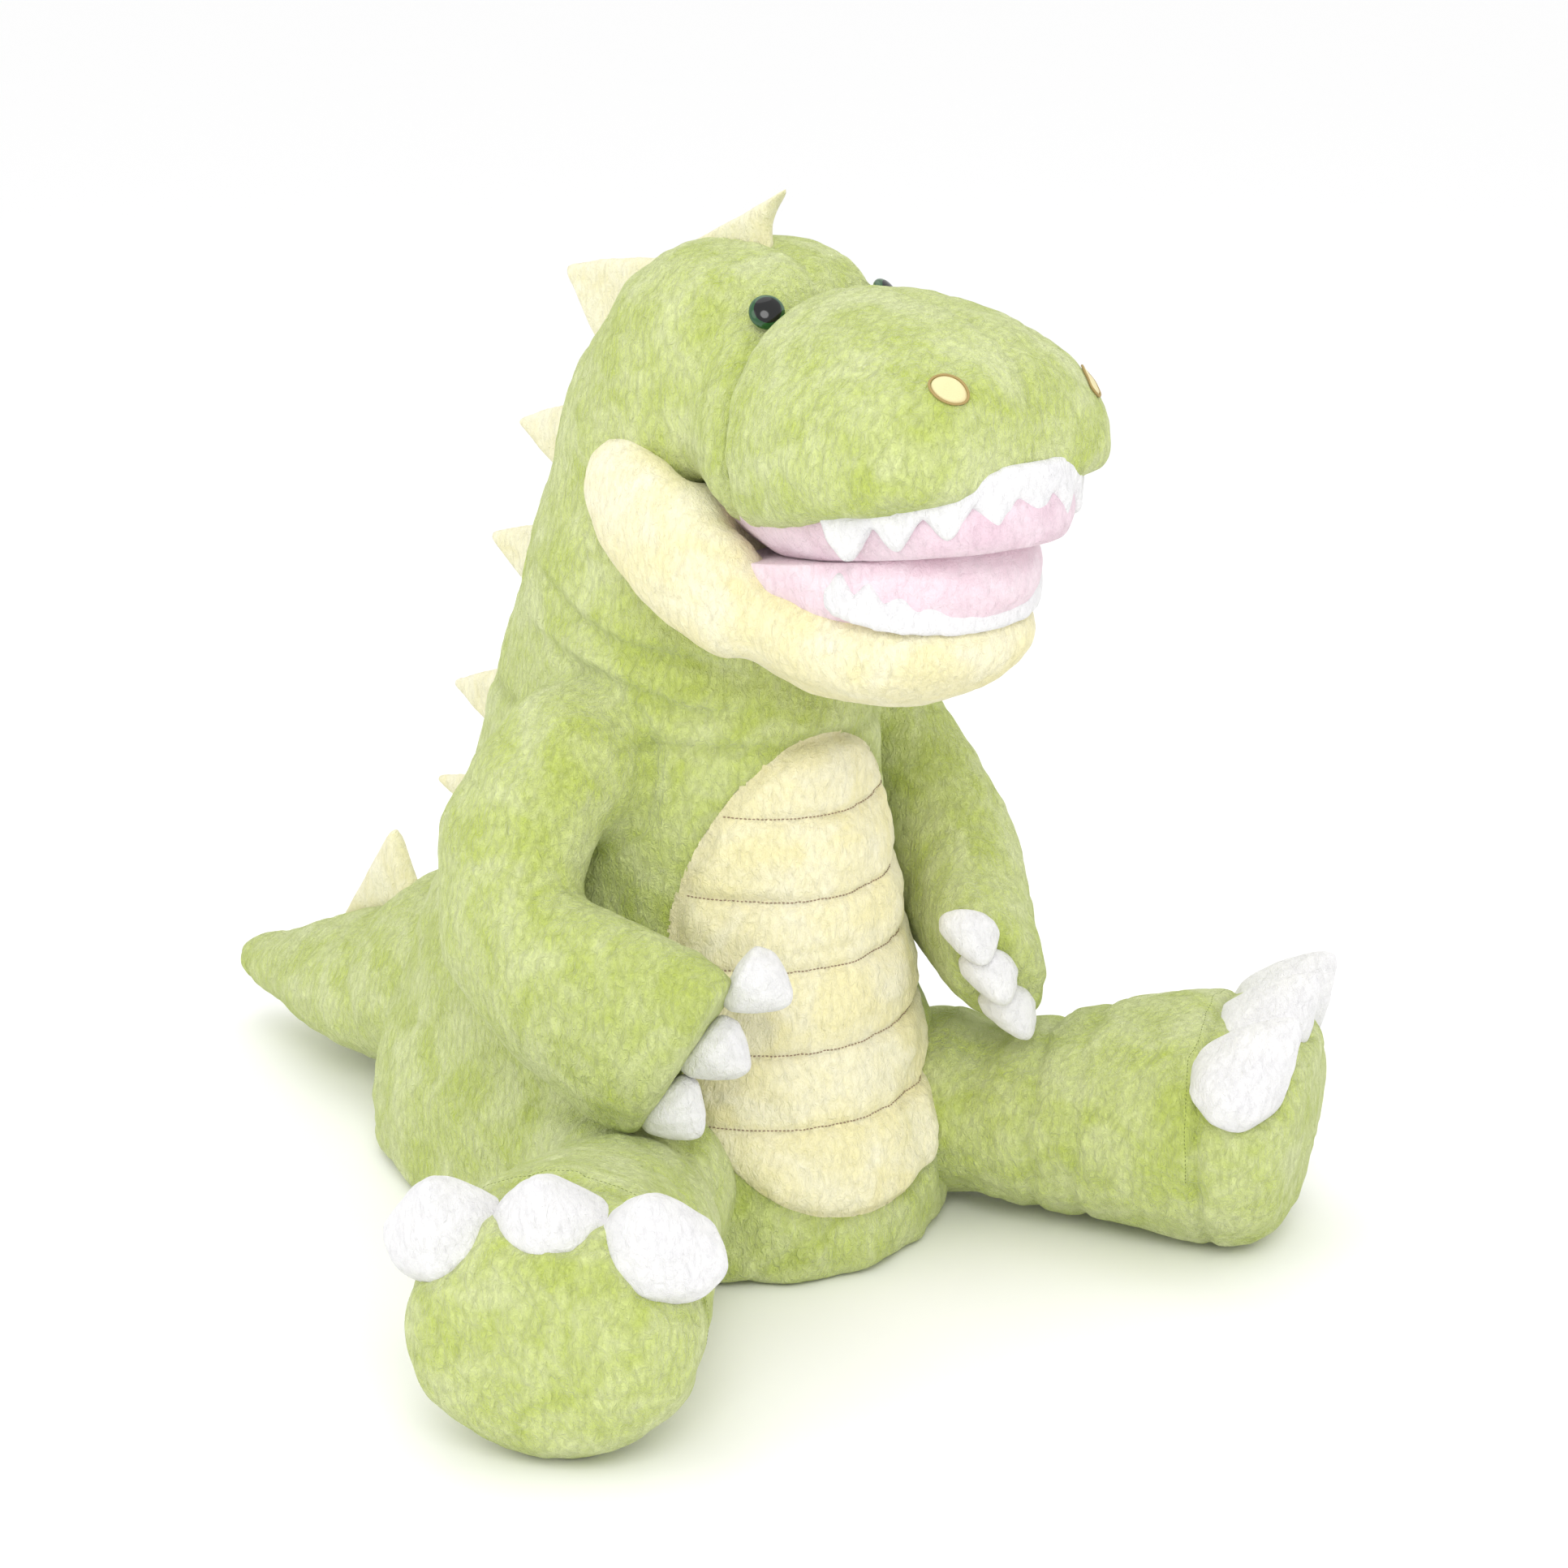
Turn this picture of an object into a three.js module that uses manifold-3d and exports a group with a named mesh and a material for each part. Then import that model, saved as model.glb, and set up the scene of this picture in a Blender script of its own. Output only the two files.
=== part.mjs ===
// A large sitting plush dinosaur: plush skins round fibre filling, with a head, a lower jaw,
// two arms, two legs and a tail that are each sewn on and can be bent at their seams.
// Units are millimetres. +Z is up, the toy faces -Y, and its right side is -X.
// The origin is the centre of the flat seat that it sits on.

import * as THREE from "three";
import { mergeVertices } from "three/addons/utils/BufferGeometryUtils.js";
import Module from "manifold-3d";

const wasm = await Module();
wasm.setup();

// ---------- driving dimensions ----------

const FABRIC = 3; // thickness of a plush skin
const GAP = 0.5; // clear gap between pieces that touch
const JOINT_GAP = 6; // clear gap round the ball at a sewn joint
const FAR = 2000; // size of a cutting block, larger than the toy

const RIGHT = -1; // the sign of X on the toy's right side
const LEFT = 1;

const NECK = { at: [0, 28, 446], radius: 158, floor: 490 };
const JAW_HINGE = { at: [0, -118, 600], radius: 44, halfWidth: 112 };
const TAIL_ROOT = { at: [-16, 298, 104], radius: 98 };
const SHOULDER = { x: 148, y: -18, z: 412, radius: 64 };
const RIGHT_HIP = { at: [-164, -122, 82], radius: 78, degrees: 51 };
const LEFT_HIP = { at: [154, -136, 82], radius: 78, degrees: 31 };

const EYE = { x: 60, y: -160, z: 783, dome: 16, rise: 9, stem: 3, length: 22, washer: 13 };
const NOSTRIL = { x: 70, y: -362, z: 764, halfWide: 16, halfHigh: 11.5, depth: 30, thick: 1.5 };

const SPIKE = { thick: 12, bevel: 4 };

// How finely the forms are divided.
const BODY_DETAIL = { sides: 16, rings: 10 };
const LIMB_DETAIL = { sides: 12, rings: 8 };
const BALL_DETAIL = { sides: 12, rings: 8 };
const NECK_DETAIL = { sides: 20, rings: 12 };
const CLAW_DETAIL = { sides: 8, rings: 5 };

const X_AXIS = new THREE.Vector3(1, 0, 0);
const Y_AXIS = new THREE.Vector3(0, 1, 0);
const Z_AXIS = new THREE.Vector3(0, 0, 1);

// ---------- colours ----------

const plush = (color) => new THREE.MeshStandardMaterial({ color, roughness: 0.95, metalness: 0 });
const GREEN = plush(0xc8d886);
const CREAM = plush(0xf4efc4);
const SPIKE_CREAM = plush(0xebe5c0);
const WHITE = plush(0xf8f7f7);
const PINK = plush(0xf8dde4);
const PALE_PINK = plush(0xfde8ee);
const FILLING = plush(0xf2f2ee);
const EMBROIDERY = plush(0xece2b2);
const EYE_PLASTIC = new THREE.MeshStandardMaterial({ color: 0x0c1a10, roughness: 0.12 });
const WASHER_PLASTIC = new THREE.MeshStandardMaterial({ color: 0xe8e8e4, roughness: 0.5 });

// ---------- solids ----------

// A closed geometry as a solid that can be joined and cut.
function solid(geometry) {
  geometry.deleteAttribute("uv");
  geometry.deleteAttribute("normal");
  const merged = mergeVertices(geometry, 1e-4);
  return new wasm.Manifold(
    new wasm.Mesh({
      numProp: 3,
      vertProperties: merged.attributes.position.array,
      triVerts: new Uint32Array(merged.index.array),
    }),
  );
}

// A solid as a geometry.
function surface(body) {
  const mesh = body.getMesh();
  return new THREE.BufferGeometry()
    .setAttribute("position", new THREE.BufferAttribute(mesh.vertProperties, 3))
    .setIndex(new THREE.BufferAttribute(mesh.triVerts, 1));
}

const joined = (first, ...rest) => rest.reduce((whole, piece) => whole.add(piece), first);
const without = (first, ...rest) => rest.reduce((whole, piece) => whole.subtract(piece), first);
const turnTo = (direction, from = Z_AXIS) =>
  new THREE.Quaternion().setFromUnitVectors(from, direction.clone().normalize());

// A solid turned about a point by an angle in degrees.
function turned(body, at, axis, degrees) {
  const turn = new THREE.Quaternion().setFromAxisAngle(axis, THREE.MathUtils.degToRad(degrees));
  const [x, y, z] = at;
  return solid(surface(body).translate(-x, -y, -z).applyQuaternion(turn).translate(x, y, z));
}

// Everything on the side of a plane that its normal points to.
function halfSpace(point, normal) {
  const block = new THREE.BoxGeometry(FAR, FAR, FAR).translate(0, 0, FAR / 2);
  block.applyQuaternion(turnTo(new THREE.Vector3(...normal)));
  return solid(block.translate(...point));
}

function ball(at, radius, { sides, rings } = BALL_DETAIL) {
  return solid(new THREE.SphereGeometry(radius, sides, rings).translate(...at));
}

// A cylinder centred on a point, along a direction.
function rod(at, direction, radius, length, sides = 24) {
  const cylinder = new THREE.CylinderGeometry(radius, radius, length, sides);
  cylinder.applyQuaternion(turnTo(direction, Y_AXIS));
  return solid(cylinder.translate(...at));
}

// A soft rounded form: a sphere's rings are spread along a spine that passes through the
// stations, and each ring takes the half width and half height that the stations give there.
// A small bluntness keeps the form full towards its ends; inset makes it thinner all round.
function softForm(stations, { inset = 0, blunt = 0.45, across = X_AXIS, detail = LIMB_DETAIL } = {}) {
  const points = stations.map(([x, y, z]) => new THREE.Vector3(x, y, z));
  const spine = new THREE.CatmullRomCurve3(points);
  const sections = new THREE.SplineCurve(stations.map(([, , , wide, high]) => new THREE.Vector2(wide, high)));
  const steps = points.length - 1;
  const start = inset / (points[0].distanceTo(points[1]) * steps);
  const end = 1 - inset / (points[steps].distanceTo(points[steps - 1]) * steps);
  const form = new THREE.SphereGeometry(1, detail.sides, detail.rings);
  const position = form.getAttribute("position");
  const vertex = new THREE.Vector3();
  for (let i = 0; i < position.count; i += 1) {
    vertex.fromBufferAttribute(position, i);
    const t = THREE.MathUtils.lerp(start, end, (1 - vertex.y) / 2);
    const clamped = THREE.MathUtils.clamp(t, 0, 1);
    const ring = Math.hypot(vertex.x, vertex.z);
    const fullness = ring > 1e-6 ? ring ** blunt / ring : 0;
    const tangent = spine.getTangent(clamped);
    const sideways = across.clone().addScaledVector(tangent, -across.dot(tangent)).normalize();
    const upwards = tangent.clone().cross(sideways);
    const section = sections.getPoint(clamped);
    const overrun = (t - clamped) * steps * points[0].distanceTo(points[1]);
    const place = spine.getPoint(clamped).addScaledVector(tangent, overrun);
    place.addScaledVector(sideways, vertex.x * fullness * (section.x - inset));
    place.addScaledVector(upwards, vertex.z * fullness * (section.y - inset));
    position.setXYZ(i, place.x, place.y, place.z);
  }
  return solid(form);
}

// ---------- the assembly ----------

const dinosaur = new THREE.Group();

function place(name, body, material, parent = dinosaur) {
  const mesh = new THREE.Mesh(surface(body), material);
  mesh.name = name;
  parent.add(mesh);
}

// ---------- torso ----------

// Rings of the torso from the seat to the neck: x, y, z, half width, half depth.
const TORSO = [
  [0, 44, -110, 190, 240],
  [0, 48, 40, 212, 276],
  [0, 46, 135, 206, 262],
  [0, 36, 220, 180, 234],
  [0, 32, 300, 150, 216],
  [0, 28, 380, 140, 204],
  [0, 20, 450, 136, 186],
  [0, 12, 530, 131, 150],
  [0, 8, 620, 122, 134],
];

const torsoForm = (inset) =>
  without(
    softForm(TORSO, { inset, blunt: 0.25, detail: BODY_DETAIL }),
    halfSpace([0, 0, Math.max(inset, 0)], [0, 0, -1]),
  );

// The belly panel's outline, seen from the front: an upright egg, wide below.
function bellyPrism(grow) {
  const outline = new THREE.Shape();
  outline.moveTo(0, 22 - grow);
  outline.bezierCurveTo(110 + grow, 22 - grow, 150 + grow, 90, 142 + grow, 190);
  outline.bezierCurveTo(134 + grow, 300, 100 + grow, 432 + grow, 0, 440 + grow);
  outline.bezierCurveTo(-100 - grow, 432 + grow, -134 - grow, 300, -142 - grow, 190);
  outline.bezierCurveTo(-150 - grow, 90, -110 - grow, 22 - grow, 0, 22 - grow);
  const prism = new THREE.ExtrudeGeometry(outline, { depth: 320, bevelEnabled: false, curveSegments: 8 });
  prism.rotateX(Math.PI / 2);
  return solid(prism);
}

// The hollows in which the sewn-on pieces sit, with room to turn at their seams.
const sockets = (extra) => [
  ball(TAIL_ROOT.at, TAIL_ROOT.radius + JOINT_GAP + extra),
  ...[RIGHT_LEG, LEFT_LEG].flatMap((leg) => [
    ball(leg.hip.at, leg.hip.radius + JOINT_GAP + extra),
    turned(leg.form(-2 * GAP - extra), leg.hip.at, Z_AXIS, -LEG_SWING),
    turned(leg.form(-2 * GAP - extra), leg.hip.at, Z_AXIS, LEG_SWING),
  ]),
  ...[RIGHT_ARM, LEFT_ARM].flatMap((arm) => [
    ball(arm.shoulder, SHOULDER.radius + JOINT_GAP + extra),
    arm.form(-FABRIC - extra),
  ]),
];

// The torso's neck ends in a ball that the head's hollow fits over.
const neckTrim = (inset) =>
  ball(NECK.at, NECK.radius - inset, NECK_DETAIL).add(halfSpace([0, 0, NECK.at[2]], [0, 0, -1]));

function buildTorso() {
  const outer = torsoForm(0).intersect(neckTrim(0));
  const inner = torsoForm(FABRIC).intersect(neckTrim(FABRIC));
  const neckOpening = rod([0, NECK.at[1], NECK.at[2] + NECK.radius], Z_AXIS, 40, 80, 16);
  const shell = without(outer, inner, neckOpening, ...sockets(0));
  place("torso_skin", shell.subtract(bellyPrism(GAP)), GREEN);
  place("belly_panel", shell.intersect(bellyPrism(0)), CREAM);
  const filling = torsoForm(FABRIC + GAP).intersect(neckTrim(FABRIC + GAP));
  place("torso_stuffing", without(filling, ...sockets(GAP)), FILLING);
}

// ---------- head ----------

// Rings of the back of the head, from the neck up: x, y, z, half width, half depth.
const CRANIUM = [
  [0, 10, 500, 134, 158],
  [0, 6, 570, 128, 144],
  [0, -12, 625, 120, 136],
  [0, -36, 680, 112, 126],
  [0, -60, 735, 107, 114],
  [0, -72, 780, 104, 106],
  [0, -74, 817, 90, 92],
];

// Rings of the muzzle, from inside the head to the nose.
const MUZZLE = [
  [0, -60, 690, 90, 90],
  [0, -130, 685, 114, 106],
  [0, -205, 682, 130, 119],
  [0, -280, 684, 133, 114],
  [0, -345, 690, 126, 104],
  [0, -402, 694, 112, 90],
];
const PALATE = { at: [0, -300, 656], normal: [0, -0.27, -1] };
const MOUTH_BACK = -130;
const JAW_BACK = -144;
const PALATE_BACK = -172;
const THROAT = { y: -60, z: 568 }; // the head is cut away below and in front of this
const CREASE = { at: [0, -170, 700], normal: [0, -1, 0.12] };

const cranium = (inset) => softForm(CRANIUM, { inset, blunt: 0.4, detail: BODY_DETAIL });
const muzzle = (inset) => softForm(MUZZLE, { inset, blunt: 0.3, detail: BODY_DETAIL });

// The open mouth: everything below the palate and in front of the throat.
const mouthSpace = (grow) =>
  halfSpace(offsetAlong(PALATE.at, PALATE.normal, -grow), PALATE.normal)
    .intersect(halfSpace([0, MOUTH_BACK + grow, 0], [0, -1, 0]));

function offsetAlong(point, normal, distance) {
  const unit = new THREE.Vector3(...normal).normalize();
  return new THREE.Vector3(...point).addScaledVector(unit, distance).toArray();
}

const headForm = (inset) =>
  without(
    joined(cranium(inset), muzzle(inset)),
    mouthSpace(inset),
    ball(NECK.at, NECK.radius + JOINT_GAP + inset, NECK_DETAIL),
    rod(JAW_HINGE.at, X_AXIS, JAW_HINGE.radius + JOINT_GAP + inset, FAR, 16),
    halfSpace([0, 0, NECK.floor + inset], [0, 0, -1]),
    halfSpace([0, 0, THROAT.z + inset], [0, 0, -1])
      .intersect(halfSpace([0, THROAT.y + inset, 0], [0, -1, 0])),
  );

// The cheek panel's outline, seen from the side: a rounded lobe that runs down to the jaw.
function cheekPrism(side, grow) {
  const outline = new THREE.Shape();
  outline.moveTo(-104, 588);
  outline.lineTo(-136 - grow, 646 + grow);
  outline.bezierCurveTo(-112, 662 + grow, -90, 676 + grow, -56, 672 + grow);
  outline.bezierCurveTo(-20 + grow, 664, 6 + grow, 630, 8 + grow, 590);
  outline.bezierCurveTo(8 + grow, 560, -24, 540 - grow, -64, 528 - grow);
  const prism = new THREE.ExtrudeGeometry(outline, { depth: 300, bevelEnabled: false, curveSegments: 6 });
  prism.rotateX(Math.PI / 2).rotateZ(Math.PI / 2);
  prism.translate(side === RIGHT ? -300 : 0, 0, 0);
  return solid(prism);
}

const eyeDirection = (side) => new THREE.Vector3(side * 0.42, -0.72, 0.55).normalize();
const sideName = (side) => (side === RIGHT ? "right" : "left");

// A domed safety eye on its stem, turned about its own axis.
function eyeProfile(grow) {
  const { dome, rise, stem, length } = EYE;
  const profile = [
    [0, -length - grow],
    [stem + grow, -length - grow],
    [stem + grow, -3 - grow],
    [dome + grow, -3 - grow],
    [dome + grow, 0],
    [dome * 0.82 + grow, rise * 0.57 + grow],
    [dome * 0.45 + grow, rise * 0.9 + grow],
    [0, rise + grow],
  ];
  return profile.map(([r, h]) => new THREE.Vector2(r, h));
}

function eyeBody(side, profile) {
  const eye = new THREE.LatheGeometry(profile, 14);
  eye.applyQuaternion(turnTo(eyeDirection(side), Y_AXIS));
  return solid(eye.translate(side * EYE.x, EYE.y, EYE.z));
}

const eye = (side, grow) => eyeBody(side, eyeProfile(grow));

function washer(side, grow) {
  const inner = EYE.stem + 0.4 - grow;
  const outer = EYE.washer + grow;
  const top = -9 + grow;
  const bottom = -12 - grow;
  const ring = [[inner, bottom], [outer, bottom], [outer, top], [inner, top], [inner, bottom]];
  return eyeBody(side, ring.map(([r, h]) => new THREE.Vector2(r, h)));
}

// The column in which an embroidered oval lies on the muzzle.
function nostrilColumn(side) {
  const patch = new THREE.CylinderGeometry(1, 1, NOSTRIL.depth, 20);
  patch.scale(NOSTRIL.halfWide, 1, NOSTRIL.halfHigh);
  patch.rotateY(-side * 0.5);
  patch.applyQuaternion(turnTo(new THREE.Vector3(side * 0.62, -0.25, 0.75), Y_AXIS));
  return solid(patch.translate(side * NOSTRIL.x, NOSTRIL.y, NOSTRIL.z));
}

// A flat triangular spike in the middle plane: its two base corners and its tip, as [y, z].
function spike(base0, base1, tip) {
  const outline = new THREE.Shape();
  outline.moveTo(...base0);
  outline.lineTo(...base1);
  outline.quadraticCurveTo((base1[0] + tip[0]) / 2 + 3, (base1[1] + tip[1]) / 2 + 5, ...tip);
  outline.quadraticCurveTo((base0[0] + tip[0]) / 2, (base0[1] + tip[1]) / 2 - 5, ...base0);
  const plate = new THREE.ExtrudeGeometry(outline, {
    depth: SPIKE.thick - 2 * SPIKE.bevel,
    bevelThickness: SPIKE.bevel,
    bevelSize: SPIKE.bevel,
    bevelOffset: -SPIKE.bevel,
    bevelSegments: 1,
    curveSegments: 3,
  });
  plate.translate(0, 0, -SPIKE.thick / 2 + SPIKE.bevel);
  plate.rotateX(Math.PI / 2).rotateZ(Math.PI / 2);
  return solid(plate);
}

// A strip of teeth, bent round a lip. Each tooth is a point on one edge of the strip.
function toothStrip({ teeth, band, point, thick, sweep, lip }) {
  const made = [];
  for (let i = 0; i < teeth; i += 1) {
    const [start, middle, end] = [i / teeth, (i + 0.5) / teeth, (i + 1) / teeth];
    const outline = new THREE.Shape();
    outline.moveTo(start, 0);
    outline.lineTo(end, 0);
    outline.lineTo(end, band);
    outline.lineTo(middle, band + point);
    outline.lineTo(start, band);
    const tooth = new THREE.ExtrudeGeometry(outline, { depth: thick, bevelEnabled: false });
    const position = tooth.getAttribute("position");
    for (let k = 0; k < position.count; k += 1) {
      const angle = (position.getX(k) - 0.5) * sweep;
      position.setXYZ(k, ...lip(angle, position.getY(k), position.getZ(k)));
    }
    made.push(solid(tooth));
  }
  return joined(...made);
}

// The upper lip as seen from above: half an oval round the nose, rising to the front.
function upperLip(angle, drop, inward) {
  const x = Math.sin(angle) * (112 - inward);
  const y = -262 - Math.cos(angle) * (132 - inward);
  const palateHeight = PALATE.at[2] + PALATE.normal[1] * (y - PALATE.at[1]);
  return [x, y, palateHeight - GAP - 3.6 - drop];
}

function lowerLip(angle, rise, inward) {
  const x = -Math.sin(angle) * (98 - inward);
  const y = -262 - Math.cos(angle) * (104 - inward);
  return [x, y, lipHeight(y) + GAP + rise];
}

// The top of the lower jaw, which slopes down from the corner of the mouth.
const JAW_TOP = { at: [0, -280, 578], normal: [0, -0.12, 1] };
const lipHeight = (y) => JAW_TOP.at[2] + (y - JAW_TOP.at[1]) * 0.12;

function buildHead() {
  const outer = headForm(0);
  const inner = headForm(FABRIC);
  const eyes = [RIGHT, LEFT];
  const eyeHoles = eyes.flatMap((side) => [eye(side, GAP), washer(side, GAP)]);
  const neckOpening = rod([0, NECK.at[1], NECK.at[2] + NECK.radius], Z_AXIS, 40, 80, 16);
  const shell = without(outer, inner, neckOpening, ...eyeHoles);
  const isMuzzle = halfSpace(CREASE.at, CREASE.normal);
  const cheeks = eyes.map((side) => cheekPrism(side, GAP));
  const notMuzzle = halfSpace(offsetAlong(CREASE.at, CREASE.normal, -GAP), CREASE.normal);
  place("muzzle_skin", without(shell.intersect(isMuzzle), ...cheeks), GREEN);
  place("head_skin", without(shell, notMuzzle, ...cheeks), GREEN);
  eyes.forEach((side) => {
    const cheek = shell.subtract(notMuzzle).intersect(cheekPrism(side, 0));
    place("cheek_panel_" + sideName(side), cheek, CREAM);
    place("eye_" + sideName(side), eye(side, 0), EYE_PLASTIC);
    place("eye_washer_" + sideName(side), washer(side, 0), WASHER_PLASTIC);
    const patch = nostrilColumn(side).intersect(muzzle(-GAP - NOSTRIL.thick)).subtract(muzzle(-GAP));
    place("nostril_" + sideName(side), patch, EMBROIDERY);
  });
  place("head_stuffing", without(headForm(FABRIC + GAP), ...eyeHoles), FILLING);
  const palate = muzzle(2)
    .intersect(halfSpace(offsetAlong(PALATE.at, PALATE.normal, GAP), PALATE.normal))
    .subtract(halfSpace(offsetAlong(PALATE.at, PALATE.normal, GAP + FABRIC), PALATE.normal))
    .intersect(halfSpace([0, PALATE_BACK, 0], [0, -1, 0]));
  place("palate_lining", palate, PINK);
  const teeth = { teeth: 11, band: 12, point: 20, thick: 10, sweep: 3.4, lip: upperLip };
  place("upper_teeth", toothStrip(teeth), WHITE);
  const skull = cranium(-GAP);
  place("crest_spike", spike([24, 800], [-104, 800], [-88, 862]).subtract(skull), SPIKE_CREAM);
  place("head_spike_upper", spike([112, 690], [34, 790], [172, 768]).subtract(skull), SPIKE_CREAM);
  place("head_spike_lower", spike([125, 575], [112, 655], [232, 622]).subtract(skull), SPIKE_CREAM);
}

// ---------- lower jaw ----------

// Rings of the lower jaw, from its hinge to the chin.
const JAW = [
  [0, -96, 588, 112, 40],
  [0, -140, 573, 117, 58],
  [0, -205, 556, 114, 62],
  [0, -265, 545, 104, 56],
  [0, -315, 548, 90, 44],
  [0, -362, 556, 66, 26],
];

const TONGUE = [
  [0, -160, 586, 58, 18],
  [0, -210, 586, 76, 26],
  [0, -265, 584, 70, 30],
  [0, -318, 580, 42, 22],
];

const jawForm = (inset) =>
  joined(
    softForm(JAW, { inset, blunt: 0.4, detail: BODY_DETAIL })
      .intersect(halfSpace([0, JAW_BACK - inset, 0], [0, -1, 0])),
    rod(JAW_HINGE.at, X_AXIS, JAW_HINGE.radius - inset, 2 * (JAW_HINGE.halfWidth - inset), 16),
  ).subtract(halfSpace(offsetAlong(JAW_TOP.at, JAW_TOP.normal, -inset), JAW_TOP.normal)
    .intersect(halfSpace([0, JAW_BACK + inset, 0], [0, -1, 0])));

function buildJaw() {
  const outer = jawForm(0);
  const tongue = softForm(TONGUE, { blunt: 0.5 });
  const tongueRoom = softForm(TONGUE, { inset: -GAP, blunt: 0.5 });
  const belowLining = halfSpace(offsetAlong(JAW_TOP.at, JAW_TOP.normal, -FABRIC - GAP), JAW_TOP.normal);
  const liningTop = halfSpace(JAW_TOP.at, JAW_TOP.normal);
  const mouth = halfSpace([0, JAW_BACK, 0], [0, -1, 0]);
  place("jaw_skin", without(outer, jawForm(FABRIC), tongueRoom, belowLining.intersect(mouth)), CREAM);
  place("jaw_stuffing", without(jawForm(2 * FABRIC + GAP), tongueRoom), FILLING);
  const lining = softForm(JAW, { blunt: 0.4, detail: BODY_DETAIL }).intersect(mouth).intersect(
    halfSpace(offsetAlong(JAW_TOP.at, JAW_TOP.normal, -FABRIC), JAW_TOP.normal));
  place("mouth_lining", without(lining, liningTop, tongueRoom), PALE_PINK);
  place("tongue_lining", tongue, PALE_PINK);
  const teeth = { teeth: 11, band: 8, point: 10, thick: 9, sweep: 2.9, lip: lowerLip };
  place("lower_teeth", toothStrip(teeth), WHITE);
}

// ---------- claws ----------

// A soft cone from a base point to a tip, flattened between its neighbours.
function claw(base, tip, halfWide, halfThick, across, inset = 0) {
  const middle = new THREE.Vector3(...base).lerp(new THREE.Vector3(...tip), 0.5);
  const stations = [
    [...base, halfWide, halfThick],
    [...middle, halfWide * 0.82, halfThick * 0.86],
    [...tip, halfWide * 0.34, halfThick * 0.4],
  ];
  return softForm(stations, { inset, blunt: 0.5, across, detail: CLAW_DETAIL });
}

// ---------- arms ----------

// Rings of each arm from the shoulder to the hand, and the plane that ends the hand.
const RIGHT_ARM = {
  rings: [
    [-152, -18, 440, 50, 56],
    [-186, -14, 384, 54, 74],
    [-208, -6, 316, 52, 70],
    [-212, -48, 268, 52, 74],
    [-200, -120, 248, 50, 84],
    [-164, -216, 236, 46, 92],
  ],
  end: [-166, -186, 236],
  pointing: [0.5, -0.84, -0.22],
  claws: [
    [[-147, -188, 299], [-103, -236, 268]],
    [[-159, -182, 247], [-115, -232, 212]],
    [[-169, -174, 199], [-136, -228, 162]],
  ],
};
const LEFT_ARM = {
  rings: [
    [152, -18, 436, 50, 56],
    [170, -46, 372, 52, 68],
    [182, -92, 306, 52, 70],
    [176, -142, 258, 50, 70],
    [152, -190, 234, 48, 68],
    [114, -240, 214, 42, 62],
  ],
  end: [130, -212, 228],
  pointing: [-0.6, -0.72, -0.35],
  claws: [
    [[118, -224, 280], [94, -254, 236]],
    [[127, -216, 243], [107, -250, 196]],
    [[139, -204, 206], [126, -240, 158]],
  ],
};

for (const arm of [RIGHT_ARM, LEFT_ARM]) {
  arm.side = Math.sign(arm.end[0]);
  arm.shoulder = [arm.side * SHOULDER.x, SHOULDER.y, SHOULDER.z];
  arm.form = (inset) =>
    joined(softForm(arm.rings, { inset, blunt: 0.28 }), ball(arm.shoulder, SHOULDER.radius - inset))
      .subtract(halfSpace(offsetAlong(arm.end, arm.pointing, -inset), arm.pointing));
}

function buildArm(arm) {
  const name = "arm_" + sideName(arm.side);
  const [x, y, z] = arm.shoulder;
  const opening = rod([x - arm.side * SHOULDER.radius, y, z], X_AXIS, 24, 40, 10);
  place(name + "_skin", without(arm.form(0), arm.form(FABRIC), opening), GREEN);
  place(name + "_stuffing", arm.form(2 * FABRIC), FILLING);
  const handEnd = halfSpace(offsetAlong(arm.end, arm.pointing, GAP), arm.pointing);
  arm.claws.forEach(([base, tip], i) => {
    const above = arm.claws.slice(0, i).map((other) => claw(...other, 25, 23, Z_AXIS, -GAP));
    const body = claw(base, tip, 25, 23, Z_AXIS).intersect(handEnd);
    place(name + "_claw_" + (i + 1), without(body, ...above), WHITE);
  });
}

// ---------- legs ----------

const LEG_SWING = 10; // how far the room in the torso lets each leg swing, in degrees
const SOLE_SEAM = 236;
const TOE_CLAW = { wide: 43, thick: 40, base: 250, tip: 300, baseHeight: 142, tipHeight: 216 };

// A leg that lies on the floor and points outwards at an angle from straight ahead.
function legAt(hip, side) {
  const angle = THREE.MathUtils.degToRad(hip.degrees);
  const ahead = new THREE.Vector3(side * Math.sin(angle), -Math.cos(angle), 0);
  const sideways = Z_AXIS.clone().cross(ahead);
  const along = (distance, z) => [hip.at[0] + ahead.x * distance, hip.at[1] + ahead.y * distance, z];
  const rings = [
    [...along(0, 82), 74, 74],
    [...along(50, 80), 84, 77],
    [...along(115, 86), 90, 85],
    [...along(195, 99), 98, 96],
    [...along(260, 106), 114, 105],
    [...along(310, 100), 115, 100],
  ];
  const form = (inset) =>
    joined(
      softForm(rings, { inset, blunt: 0.3, across: sideways }),
      ball(hip.at, hip.radius - inset),
    );
  return { hip, side, ahead, sideways, along, form };
}

const RIGHT_LEG = legAt(RIGHT_HIP, RIGHT);
const LEFT_LEG = legAt(LEFT_HIP, LEFT);

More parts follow.
